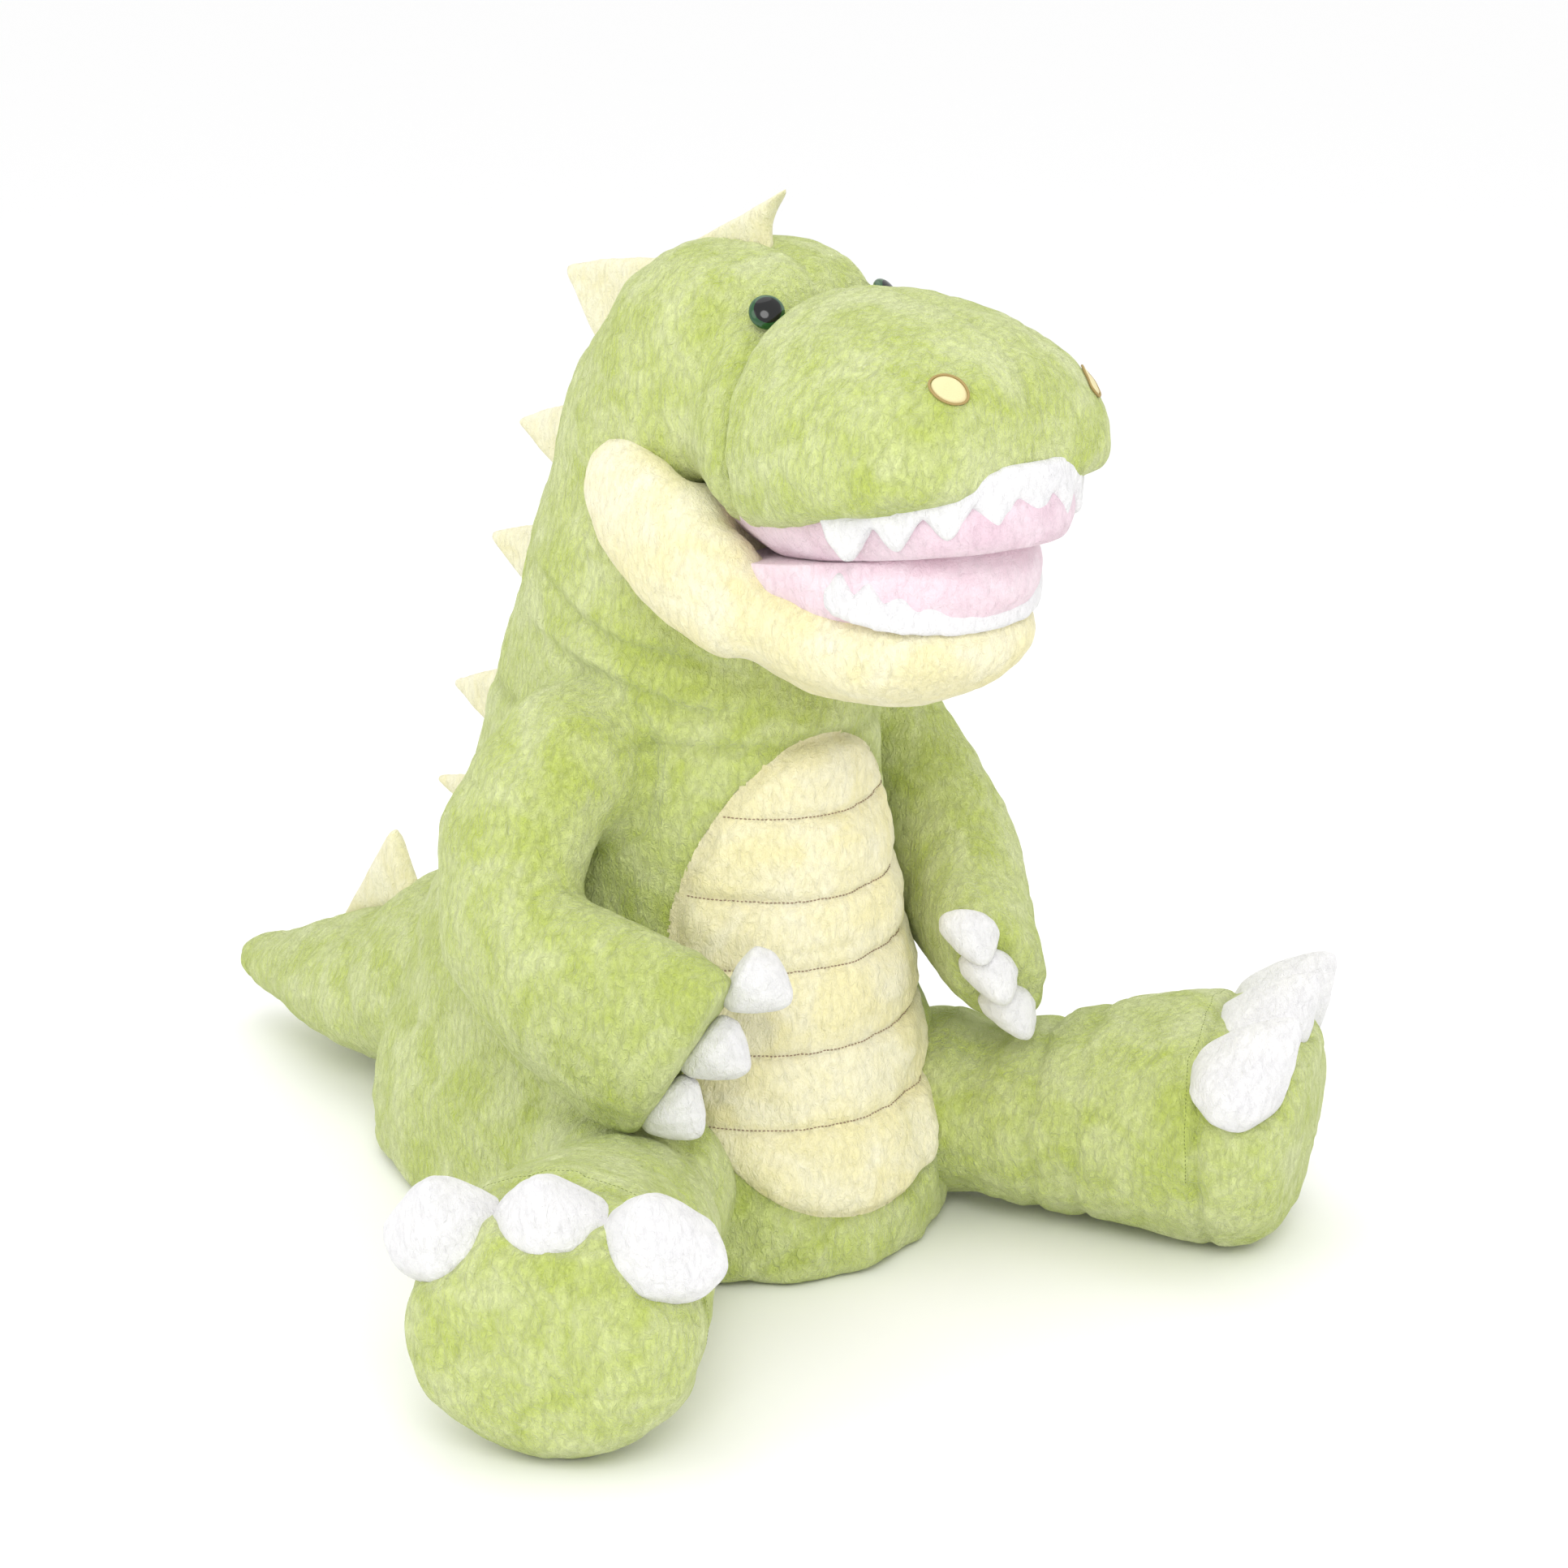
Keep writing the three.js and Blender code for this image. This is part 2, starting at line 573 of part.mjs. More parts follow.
function buildLeg({ hip, side, ahead, sideways, along, form }) {
  const name = "leg_" + sideName(side);
  const { wide, thick, base, tip, baseHeight, tipHeight } = TOE_CLAW;
  const claws = [-1, 0, 1].map((step) => {
    const at = (distance, z, spread) =>
      new THREE.Vector3(...along(distance, z)).addScaledVector(sideways, step * spread).toArray();
    const lift = step === 0 ? 8 : 0;
    return (grow) =>
      claw(at(base, baseHeight + lift, 74), at(tip, tipHeight + lift, 80), wide, thick, sideways, -grow);
  });
  const clawRoom = claws.map((make) => make(GAP));
  const opening = rod(along(-hip.radius, hip.at[2]), ahead, 26, 44, 10);
  const shell = without(form(0), form(FABRIC), opening, ...clawRoom);
  const seam = halfSpace(along(SOLE_SEAM, 0), ahead.toArray());
  const seamGap = halfSpace(along(SOLE_SEAM - GAP, 0), ahead.toArray());
  place(name + "_skin", shell.subtract(seamGap), GREEN);
  place("sole_" + sideName(side), shell.intersect(seam), GREEN);
  place(name + "_stuffing", without(form(FABRIC + GAP), ...clawRoom), FILLING);
  claws.forEach((make, i) => place(name + "_claw_" + (i + 1), make(0), WHITE));
}

// ---------- tail ----------

const TAIL = [
  [-16, 298, 104, 98, 98],
  [-32, 362, 94, 94, 88],
  [-50, 426, 79, 74, 68],
  [-64, 488, 67, 52, 46],
  [-76, 546, 62, 34, 32],
  [-86, 594, 64, 24, 24],
];

const tailForm = (inset) =>
  joined(
    softForm(TAIL, { inset, blunt: 0.4 }),
    ball(TAIL_ROOT.at, TAIL_ROOT.radius - inset),
  );

function buildTail() {
  const opening = rod([0, TAIL_ROOT.at[1] - TAIL_ROOT.radius, TAIL_ROOT.at[2]], Y_AXIS, 30, 44, 12);
  place("tail_skin", without(tailForm(0), tailForm(FABRIC), opening), GREEN);
  place("tail_stuffing", tailForm(FABRIC + GAP), FILLING);
  const fin = spike([506, 60], [368, 110], [414, 218]).translate([-38, 0, 0]);
  place("tail_spike", fin.subtract(tailForm(-GAP)), SPIKE_CREAM);
}

// ---------- spikes down the back ----------

const BACK_SPIKES = [
  [[150, 450], [150, 545], [278, 514]],
  [[215, 320], [205, 410], [342, 366]],
  [[230, 228], [225, 300], [372, 268]],
];

function buildBackSpikes() {
  const back = torsoForm(-GAP);
  BACK_SPIKES.forEach(([base0, base1, tip], i) =>
    place("back_spike_" + (i + 1), spike(base0, base1, tip).subtract(back), SPIKE_CREAM),
  );
}

buildTorso();
buildHead();
buildJaw();
buildArm(RIGHT_ARM);
buildArm(LEFT_ARM);
buildLeg(RIGHT_LEG);
buildLeg(LEFT_LEG);
buildTail();
buildBackSpikes();

export default dinosaur;
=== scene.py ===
# The looks of a large sitting plush dinosaur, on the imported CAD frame. Metres, +Z up, facing -Y.

import math

import bpy
import numpy as np
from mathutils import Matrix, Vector
from mathutils.bvhtree import BVHTree


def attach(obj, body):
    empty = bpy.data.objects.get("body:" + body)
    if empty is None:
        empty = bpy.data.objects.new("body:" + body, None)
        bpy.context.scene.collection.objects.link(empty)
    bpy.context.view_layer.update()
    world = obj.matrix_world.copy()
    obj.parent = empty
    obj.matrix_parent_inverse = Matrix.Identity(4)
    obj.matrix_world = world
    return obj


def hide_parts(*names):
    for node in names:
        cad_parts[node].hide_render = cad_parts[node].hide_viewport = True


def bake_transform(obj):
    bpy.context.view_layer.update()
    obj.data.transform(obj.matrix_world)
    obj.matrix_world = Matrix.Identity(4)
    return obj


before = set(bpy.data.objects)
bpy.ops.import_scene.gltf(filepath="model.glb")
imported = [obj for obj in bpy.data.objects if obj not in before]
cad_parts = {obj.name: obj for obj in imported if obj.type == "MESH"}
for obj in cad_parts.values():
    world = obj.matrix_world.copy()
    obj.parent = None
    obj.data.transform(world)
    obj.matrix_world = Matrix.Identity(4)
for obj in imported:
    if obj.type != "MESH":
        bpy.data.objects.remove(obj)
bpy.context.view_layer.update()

# The joints, the muzzle's crease and the sole's seam, as in the CAD model.
SHOULDERS = {"right": (-0.148, -0.018, 0.412), "left": (0.148, -0.018, 0.412)}
HIPS = {"right": (-0.164, -0.122, 0.082), "left": (0.154, -0.136, 0.082)}
LEG_DEGREES = {"right": -51.0, "left": 31.0}
TAIL_ROOT = (-0.016, 0.298, 0.104)
CREASE_AT = np.array([0.0, -0.170, 0.700])
CREASE_NORMAL = np.array([0.0, -1.0, 0.12]) / math.hypot(1.0, 0.12)
SOLE_SEAM = 0.236  # along the leg, from the hip

# Lines that only the looks have: the chest seam and the sewn lines of the belly, which rise by the
# bend at the half width.
CHEST_SEAM = 0.435
QUILT_LINES = [0.378, 0.312, 0.256, 0.189, 0.129]
QUILT_BEND = 0.010
QUILT_HALF_WIDTH = 0.14

FLOOR_CLEARANCE = 0.0006
SNAP = 0.0017  # points nearer to a seam than this are moved onto it
SOLE_SNAP = 0.0016

# ---------- camera and light ----------

CAMERA_AT = (-1.6596, -2.0837, 1.2253)
CAMERA_AIM = Vector((0.0521, -0.0437, 0.360))

# Name, place, height aimed at, disk size and watts.
LIGHTS = [
    ("key", (-1.6, -2.2, 2.6), 0.35, 1.6, 29),
    ("fill", (2.6, -1.6, 1.8), 0.35, 2.2, 4),
    ("left", (-2.8, 0.2, 1.8), 0.35, 2.0, 10),
    ("top", (0.2, 0.6, 3.2), 0.3, 2.4, 12),
]


def add_camera():
    data = bpy.data.cameras.new("camera")
    data.lens = 77.87
    data.sensor_width = 36.0
    camera = bpy.data.objects.new("camera", data)
    bpy.context.scene.collection.objects.link(camera)
    camera.location = CAMERA_AT
    camera.rotation_euler = (CAMERA_AIM - camera.location).to_track_quat("-Z", "Y").to_euler()
    bpy.context.scene.camera = camera


def add_light(name, place, aim_height, size, watts):
    data = bpy.data.lights.new(name, "AREA")
    data.shape = "DISK"
    data.size = size
    data.energy = watts
    light = bpy.data.objects.new(name, data)
    light.location = place
    aim = Vector((0, 0, aim_height)) - Vector(place)
    light.rotation_euler = aim.to_track_quat("-Z", "Y").to_euler()
    bpy.context.scene.collection.objects.link(light)


def add_studio():
    world = bpy.data.worlds.new("studio")
    world.use_nodes = True
    background = world.node_tree.nodes["Background"]
    background.inputs[0].default_value = (1, 1, 1, 1)
    background.inputs[1].default_value = 1.0
    bpy.context.scene.world = world
    bpy.context.scene.view_settings.view_transform = "Standard"


add_camera()
for light in LIGHTS:
    add_light(*light)
add_studio()

# ---------- noise and mesh helpers ----------


def noise(points, scale, seed=0):
    """Smooth value noise from -1 to 1, with lumps of about the given scale."""
    q = points / scale + seed * 17.31 + 500.0
    cell = np.floor(q).astype(np.int64)
    f = q - cell
    f = f * f * (3 - 2 * f)
    total = np.zeros(len(points))
    for corner in range(8):
        step = np.array([corner & 1, corner >> 1 & 1, corner >> 2 & 1])
        c = cell + step
        n = (c[:, 0] * 73856093) ^ (c[:, 1] * 19349663) ^ (c[:, 2] * 83492791)
        n = ((n ^ (n >> 13)) * 1274126177) & 0x7FFFFFFF
        weight = np.prod(np.where(step, f, 1 - f), axis=1)
        total += weight * ((n % 65536) / 32768.0 - 1)
    return total


def groove(distance, width):
    """One at distance nought, falling away smoothly within about the width."""
    return np.exp(-((distance / width) ** 2))


def new_object(name, verts, faces):
    mesh = bpy.data.meshes.new(name)
    mesh.from_pydata([tuple(v) for v in verts], [], [tuple(f) for f in faces])
    mesh.update()
    obj = bpy.data.objects.new(name, mesh)
    bpy.context.scene.collection.objects.link(obj)
    return obj


def tree_of(obj):
    """A search tree of the object's faces."""
    return BVHTree.FromPolygons(
        [tuple(v.co) for v in obj.data.vertices], [tuple(p.vertices) for p in obj.data.polygons]
    )


def coordinates(mesh):
    co = np.empty(len(mesh.vertices) * 3)
    mesh.vertices.foreach_get("co", co)
    return co.reshape(-1, 3)


def set_coordinates(mesh, co):
    mesh.vertices.foreach_set("co", co.ravel())
    mesh.update()


def normals(mesh):
    n = np.empty(len(mesh.vertices) * 3, np.float32)
    mesh.vertices.foreach_get("normal", n)
    return n.reshape(-1, 3).astype(float)


def loft(rings, sides=40):
    """A closed form of level ellipses: x, y, z, half width, half depth."""
    verts, faces = [], []
    for x, y, z, wide, deep in rings:
        for i in range(sides):
            a = 2 * math.pi * i / sides
            verts.append((x + wide * math.cos(a), y + deep * math.sin(a), z))
    for r in range(len(rings) - 1):
        for i in range(sides):
            j = (i + 1) % sides
            faces.append((r * sides + i, r * sides + j, (r + 1) * sides + j, (r + 1) * sides + i))
    faces.append(tuple(range(sides))[::-1])
    faces.append(tuple((len(rings) - 1) * sides + i for i in range(sides)))
    return verts, faces


def ball(at, radius, sides=32, rings=20):
    """A sphere with its poles up and down."""
    verts, faces = [], []
    for r in range(1, rings):
        b = math.pi * r / rings
        for i in range(sides):
            a = 2 * math.pi * i / sides
            verts.append((
                at[0] + radius * math.sin(b) * math.cos(a),
                at[1] + radius * math.sin(b) * math.sin(a),
                at[2] - radius * math.cos(b),
            ))
    bottom, top = len(verts), len(verts) + 1
    verts += [(at[0], at[1], at[2] - radius), (at[0], at[1], at[2] + radius)]
    for r in range(rings - 2):
        for i in range(sides):
            j = (i + 1) % sides
            faces.append((r * sides + i, r * sides + j, (r + 1) * sides + j, (r + 1) * sides + i))
    for i in range(sides):
        j = (i + 1) % sides
        faces.append((bottom, j, i))
        faces.append((top, (rings - 2) * sides + i, (rings - 2) * sides + j))
    return verts, faces


def egg(at, radii):
    """An ellipsoid."""
    verts, faces = ball((0, 0, 0), 1.0)
    return [tuple(at[k] + radii[k] * v[k] for k in range(3)) for v in verts], faces


def evaluated(obj):
    """Swaps the object's mesh for what its modifiers make of it."""
    graph = bpy.context.evaluated_depsgraph_get()
    mesh = bpy.data.meshes.new_from_object(obj.evaluated_get(graph))
    obj.modifiers.clear()
    old = obj.data
    obj.data = mesh
    bpy.data.meshes.remove(old)


def edge_pairs(mesh):
    edges = np.empty(len(mesh.edges) * 2, np.int64)
    mesh.edges.foreach_get("vertices", edges)
    return edges.reshape(-1, 2)


def smoothed(co, edges, rounds):
    """Each round moves every point halfway to the mean of its neighbours."""
    count = np.maximum(np.bincount(edges.ravel(), minlength=len(co)), 1)
    for _ in range(rounds):
        total = np.empty_like(co)
        for k in range(3):
            total[:, k] = (
                np.bincount(edges[:, 0], co[edges[:, 1], k], len(co))
                + np.bincount(edges[:, 1], co[edges[:, 0], k], len(co))
            )
        co = co + 0.5 * (total / count[:, None] - co)
    return co


def soft(name, nodes, voxel, rounds, puff, shape, bend=None, extra=()):
    """One soft closed form from the given CAD nodes and extra forms: joined, rounded, puffed up,
    divided finely, shaped along its normals by shape(points), and then moved by bend(points).
    Shape gives each point's offset and how much painted shade its fold gets. The form stands in for the
    nodes."""
    verts, faces = [], []
    for node in nodes:
        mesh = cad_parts[node].data
        start = len(verts)
        verts += [tuple(v.co) for v in mesh.vertices]
        faces += [tuple(start + i for i in p.vertices) for p in mesh.polygons]
    for more_verts, more_faces in extra:
        start = len(verts)
        verts += more_verts
        faces += [tuple(start + i for i in f) for f in more_faces]
    obj = new_object(name, verts, faces)
    remesh = obj.modifiers.new("remesh", "REMESH")
    remesh.mode = "VOXEL"
    remesh.voxel_size = voxel
    evaluated(obj)
    keep_largest(obj)
    mesh = obj.data
    set_coordinates(mesh, smoothed(coordinates(mesh), edge_pairs(mesh), rounds))
    set_coordinates(mesh, coordinates(mesh) + normals(mesh) * puff)
    divide = obj.modifiers.new("divide", "SUBSURF")
    divide.levels = 1
    divide.render_levels = 1
    evaluated(obj)
    mesh = obj.data
    co = coordinates(mesh)
    offset, painted_shade = shape(co)
    co = co + normals(mesh) * offset[:, None]
    set_coordinates(mesh, bend(co) if bend else co)
    co = coordinates(mesh)
    co[:, 2] = np.maximum(co[:, 2], FLOOR_CLEARANCE)
    set_coordinates(mesh, co)
    # The crease values are painted shade: darkening in the folds and seams, where shade falls.
    shade_attribute = mesh.attributes.new("crease", "FLOAT", "POINT")
    shade_attribute.data.foreach_set("value", np.clip(painted_shade, 0, 1).astype(np.float32))
    mesh.shade_smooth()
    if nodes:
        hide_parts(*nodes)
    return obj


def keep_largest(obj):
    """Leaves only the largest connected part of the mesh."""
    mesh = obj.data
    edges = edge_pairs(mesh)
    label = np.arange(len(mesh.vertices))
    while True:
        low = np.minimum(label[edges[:, 0]], label[edges[:, 1]])
        before = label.copy()
        np.minimum.at(label, edges[:, 0], low)
        np.minimum.at(label, edges[:, 1], low)
        label = label[label]
        if (label == before).all():
            break
    values, counts = np.unique(label, return_counts=True)
    if len(values) == 1:
        return
    good = label == values[counts.argmax()]
    remap = np.cumsum(good) - 1
    faces = [tuple(remap[i] for i in p.vertices) for p in mesh.polygons if good[p.vertices[0]]]
    co = coordinates(mesh)[good]
    fresh = bpy.data.meshes.new(mesh.name)
    fresh.from_pydata([tuple(v) for v in co], [], faces)
    fresh.update()
    obj.data = fresh
    bpy.data.meshes.remove(mesh)


def part_of(obj, name, inside):
    """A new piece that holds the faces of obj whose centres pass the test."""
    mesh = obj.data
    co = coordinates(mesh)
    corners = np.array([p.vertices[:] for p in mesh.polygons])
    centres = co[corners].mean(1)
    chosen = corners[inside(centres)]
    used = np.unique(chosen)
    remap = np.full(len(co), -1)
    remap[used] = np.arange(len(used))
    # Carries the painted shade of the folds and seams over to the piece.
    crease = np.empty(len(co), np.float32)
    mesh.attributes["crease"].data.foreach_get("value", crease)
    piece = new_object(name, co[used], remap[chosen])
    shade_attribute = piece.data.attributes.new("crease", "FLOAT", "POINT")
    shade_attribute.data.foreach_set("value", crease[used])
    piece.data.shade_smooth()
    return piece


# ---------- materials ----------

STREAK = (1.0, 1.0, 0.6)  # the pile's tufts are longer upwards than across


def plush(name, pale, deep, nap=0.045, pile=0.0016, sheen=0.35, depth=0.0016):
    """Short pile fabric: areas of the size nap, lighter or darker, partly the fabric's own tone and partly a
    painted sheen of the nap; tufts, and fibres of the size pile, which also show in a bump of the given
    depth; a sheen; and painted shade in the folds."""
    material = bpy.data.materials.new(name)
    material.use_nodes = True
    tree = material.node_tree
    nodes, links = tree.nodes, tree.links
    shader = nodes["Principled BSDF"]
    shader.inputs["Roughness"].default_value = 0.92
    shader.inputs["Specular IOR Level"].default_value = 0.15
    shader.inputs["Sheen Weight"].default_value = sheen
    shader.inputs["Sheen Roughness"].default_value = 0.45
    place = nodes.new("ShaderNodeTexCoord")

    def field(scale, detail, rough, squash=(1, 1, 1), distortion=0.0):
        mapping = nodes.new("ShaderNodeMapping")
        mapping.inputs["Scale"].default_value = squash
        links.new(place.outputs["Object"], mapping.inputs["Vector"])
        texture = nodes.new("ShaderNodeTexNoise")
        texture.inputs["Scale"].default_value = 1 / scale
        texture.inputs["Detail"].default_value = detail
        texture.inputs["Roughness"].default_value = rough
        texture.inputs["Distortion"].default_value = distortion
        links.new(mapping.outputs["Vector"], texture.inputs["Vector"])
        return texture.outputs["Fac"]

    def ramp(source, low, high):
        limits = nodes.new("ShaderNodeMapRange")
        limits.inputs["From Min"].default_value = low
        limits.inputs["From Max"].default_value = high
        links.new(source, limits.inputs["Value"])
        return limits.outputs["Result"]

    def maths(kind, a, b):
        node = nodes.new("ShaderNodeMath")
        node.operation = kind
        for socket, value in zip(node.inputs, (a, b)):
            if isinstance(value, (int, float)):
                socket.default_value = value
            else:
                links.new(value, socket)
        return node.outputs[0]

    # The nap areas are partly the fabric's own tone and partly a painted sheen: the lighter and darker look
    # of pile lying different ways.
    tone_and_painted_sheen = ramp(field(nap, 3, 0.55, distortion=0.6), 0.36, 0.64)
    tufts = ramp(field(0.0062, 4, 0.65, STREAK, 1.2), 0.32, 0.68)
    fibres = ramp(field(pile, 2, 0.7, STREAK), 0.25, 0.75)
    tone = maths("ADD", maths("MULTIPLY", tone_and_painted_sheen, 0.6), maths("MULTIPLY", tufts, 0.24))
    tone = maths("ADD", tone, maths("MULTIPLY", fibres, 0.16))
    colours = nodes.new("ShaderNodeMix")
    colours.data_type = "RGBA"
    links.new(tone, colours.inputs["Factor"])
    colours.inputs["A"].default_value = (*deep, 1)
    colours.inputs["B"].default_value = (*pale, 1)
    # Painted shade: the crease values mix the colour towards the deep colour at 0.62, darkening folds and
    # seams where shade falls.
    folds = nodes.new("ShaderNodeAttribute")
    folds.attribute_name = "crease"
    darker = nodes.new("ShaderNodeMix")
    darker.data_type = "RGBA"
    links.new(folds.outputs["Fac"], darker.inputs["Factor"])
    links.new(colours.outputs["Result"], darker.inputs["A"])
    darker.inputs["B"].default_value = (*[c * 0.62 for c in deep], 1)
    links.new(darker.outputs["Result"], shader.inputs["Base Color"])
    relief = maths("ADD", maths("MULTIPLY", tufts, 0.7), maths("MULTIPLY", fibres, 0.3))
    bumps = nodes.new("ShaderNodeBump")
    bumps.inputs["Strength"].default_value = 0.9
    bumps.inputs["Distance"].default_value = depth
    links.new(relief, bumps.inputs["Height"])
    links.new(bumps.outputs["Normal"], shader.inputs["Normal"])
    return material


def linear(*colour):
    """Linear light of a screen colour from 0 to 255."""
    return tuple(((c / 255 + 0.055) / 1.055) ** 2.4 if c > 10 else c / 255 / 12.92 for c in colour)


GREEN = plush("plush_green", linear(223, 231, 170), linear(187, 203, 90), depth=0.0036)
CREAM = plush(
    "plush_cream", linear(249, 244, 217), linear(244, 235, 180), nap=0.05, sheen=0.2, depth=0.0020
)
SPIKE = plush("spike_cream", linear(247, 243, 216), linear(236, 229, 182), nap=0.03, pile=0.0012)
WHITE = plush("plush_white", linear(246, 245, 245), linear(234, 233, 235), nap=0.02, pile=0.001)
PINK = plush("plush_pink", linear(243, 222, 231), linear(230, 200, 213), nap=0.03, pile=0.001)
PALE_PINK = plush("plush_pale_pink", linear(248, 230, 237), linear(241, 213, 224), nap=0.03, pile=0.001)


def plain(name, colour, rough, coat=0.0, grain=0.0008, depth=0.0002, variation=0.12):
    """A smooth or lightly grained surface with a little colour variation."""
    material = bpy.data.materials.new(name)
    material.use_nodes = True
    nodes, links = material.node_tree.nodes, material.node_tree.links
    shader = nodes["Principled BSDF"]
    shader.inputs["Roughness"].default_value = rough
    shader.inputs["Coat Weight"].default_value = coat
    place = nodes.new("ShaderNodeTexCoord")
    texture = nodes.new("ShaderNodeTexNoise")
    texture.inputs["Scale"].default_value = 1 / grain
    links.new(place.outputs["Object"], texture.inputs["Vector"])
    mix = nodes.new("ShaderNodeMix")
    mix.data_type = "RGBA"
    links.new(texture.outputs["Fac"], mix.inputs["Factor"])
    mix.inputs["A"].default_value = (*[c * (1 - variation) for c in colour], 1)
    mix.inputs["B"].default_value = (*[min(1, c * (1 + variation)) for c in colour], 1)
    links.new(mix.outputs["Result"], shader.inputs["Base Color"])
    bumps = nodes.new("ShaderNodeBump")
    bumps.inputs["Strength"].default_value = 0.5
    bumps.inputs["Distance"].default_value = depth
    links.new(texture.outputs["Fac"], bumps.inputs["Height"])
    links.new(bumps.outputs["Normal"], shader.inputs["Normal"])
    return material


THREAD = plain("thread", linear(150, 126, 104), 0.7)
SEAM = plain("seam_thread", linear(120, 132, 62), 0.8)
NOSTRIL_FILL = plain("embroidery", linear(228, 216, 164), 0.55, grain=0.0006)
NOSTRIL_RING = plain("embroidery_ring", linear(165, 140, 85), 0.6, grain=0.0006)
EYE_BLACK = plain("eye_black", linear(10, 12, 12), 0.10, grain=0.01, depth=0.00001)
EYE_GREEN = plain("eye_green", linear(6, 74, 28), 0.12, coat=0.5, grain=0.002, depth=0.00002)


def finish_piece(obj, material, body=None):
    """Gives a piece its material, slot and, where one is named, its body."""
    obj.data.materials.clear()
    obj.data.materials.append(material)
    if body:
        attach(obj, body)


# ---------- torso, neck and head ----------


def bezier(p0, p1, p2, p3, steps=24):
    """Points along a cubic curve, without its last one."""
    t = np.linspace(0, 1, steps, endpoint=False)[:, None]
    p0, p1, p2, p3 = (np.array(p, float) for p in (p0, p1, p2, p3))
    return (1 - t) ** 3 * p0 + 3 * t * (1 - t) ** 2 * p1 + 3 * t**2 * (1 - t) * p2 + t**3 * p3


# The belly panel's outline seen from the front, drawn in millimetres. It is narrower than the CAD
# panel's, and its lower end is higher.
EGG = np.concatenate([
    bezier((0, 52), (88, 52), (124, 100), (126, 190)),
    bezier((126, 190), (126, 300), (92, 436), (0, 440)),
    bezier((0, 440), (-92, 436), (-126, 300), (-126, 190)),
    bezier((-126, 190), (-124, 100), (-88, 52), (0, 52)),
]) / 1000


def egg_distance(points):
    """Distance to the belly outline in the front view, negative inside, and its nearest point."""
    flat = points[:, [0, 2]]
    best = np.full(len(flat), 9.0)
    nearest = np.zeros_like(flat)
    inside = np.zeros(len(flat), bool)
    for a, b in zip(EGG, np.roll(EGG, -1, axis=0)):
        d = b - a
        t = np.clip(((flat - a) @ d) / (d @ d), 0, 1)
        p = a + t[:, None] * d
        gap = np.hypot(*(flat - p).T)
        closer = gap < best
        best[closer] = gap[closer]
        nearest[closer] = p[closer]
        crosses = (a[1] > flat[:, 1]) != (b[1] > flat[:, 1])
        with np.errstate(divide="ignore", invalid="ignore"):
            x = a[0] + (flat[:, 1] - a[1]) / (b[1] - a[1]) * (b[0] - a[0])
        inside ^= crosses & (flat[:, 0] < x)
    return np.where(inside, -best, best), nearest


def crease_distance(points):
    return (points - CREASE_AT) @ CREASE_NORMAL


def lumps(points):
    """The slight unevenness of stuffing under pile fabric."""
    warped = points + 0.012 * noise(points, 0.05, 14)[:, None]
    crumple = 1 - np.abs(noise(warped, 0.038, 15)) * 2.2
    return (
        0.0024 * noise(points, 0.07, 3) + 0.0012 * noise(points, 0.022, 5) + 0.0007 * noise(points, 0.009, 9)
        - 0.0016 * np.clip(crumple, 0, 1) ** 3
    )


def uneven(height, scale, seed, squash=(1, 1, 1)):
    """A shape that is only a little lumpy, with no folds. A squash above one flattens the lumps."""
    return lambda p: (height * noise(p * np.array(squash), scale, seed), np.zeros(len(p)))


def quilting(p):
    """The belly panel's sunk rim, its pillows between the sewn lines and its small wrinkles, with painted
    shade in the rim and along the sewn lines.
    """
    edge, _ = egg_distance(p)
    front = (p[:, 1] < 0.0) & (p[:, 2] < 0.46)
    rim = groove(edge, 0.006) * front
    fade = np.clip(-edge / 0.02, 0, 1) * (front & (edge < 0))
    sag = QUILT_BEND * (p[:, 0] / QUILT_HALF_WIDTH) ** 2
    gap = np.abs((p[:, 2] - sag)[:, None] - np.array(QUILT_LINES)).min(1)
    offset = -0.004 * rim
    offset += fade * (0.005 * np.clip(gap / 0.03, 0, 1) ** 0.7 - 0.0036 * groove(gap, 0.004))
    offset += fade * 0.0012 * noise(p * np.array([0.35, 1, 2.2]), 0.02, 4)
    return offset, 0.35 * rim + fade * 0.08 * groove(gap, 0.003)


def body_seams(p):
    """The chest seam, the deep crease behind the muzzle and the middle seam of the brow, with painted shade
    in the chest seam and the crease.
    """
    chest = p[:, 2] - CHEST_SEAM
    crease = crease_distance(p)
    upper = (p[:, 2] > 0.60) & (p[:, 1] < 0)
    brow = (p[:, 2] > 0.74) & (p[:, 1] < -0.02)
    offset = -0.0045 * groove(chest, 0.006) - 0.011 * groove(crease, 0.010) * upper
    offset -= 0.004 * groove(p[:, 0], 0.005) * brow
    return offset, 0.25 * groove(chest, 0.004) + 0.45 * groove(crease, 0.005) * upper


# The height of each neck fold, its slope from back to front and its noise.
NECK_FOLDS = [(0.512, 0.30, 21), (0.478, 0.18, 22)]


def neck_folds(p):
    """Two loose folds round the neck, below the cheeks, with painted shade in each fold."""
    offset, painted_shade = np.zeros(len(p)), np.zeros(len(p))
    for height, tilt, seed in NECK_FOLDS:
        fold = (p[:, 2] - height - tilt * (p[:, 1] + 0.06)) + 0.010 * noise(p, 0.06, seed)
        here = np.clip((0.10 - p[:, 1]) / 0.10, 0, 1)
        here = here * np.clip((np.abs(p[:, 0]) - 0.03) / 0.06, 0, 1)
        offset += here * (0.0030 * groove(fold - 0.012, 0.010) - 0.0042 * groove(fold, 0.006))
        painted_shade += here * 0.10 * groove(fold, 0.005)
    return offset, painted_shade


SHOULDER_RING, SHOULDER_SEAM, HIP_RIPPLES = 0.088, 0.075, 0.115


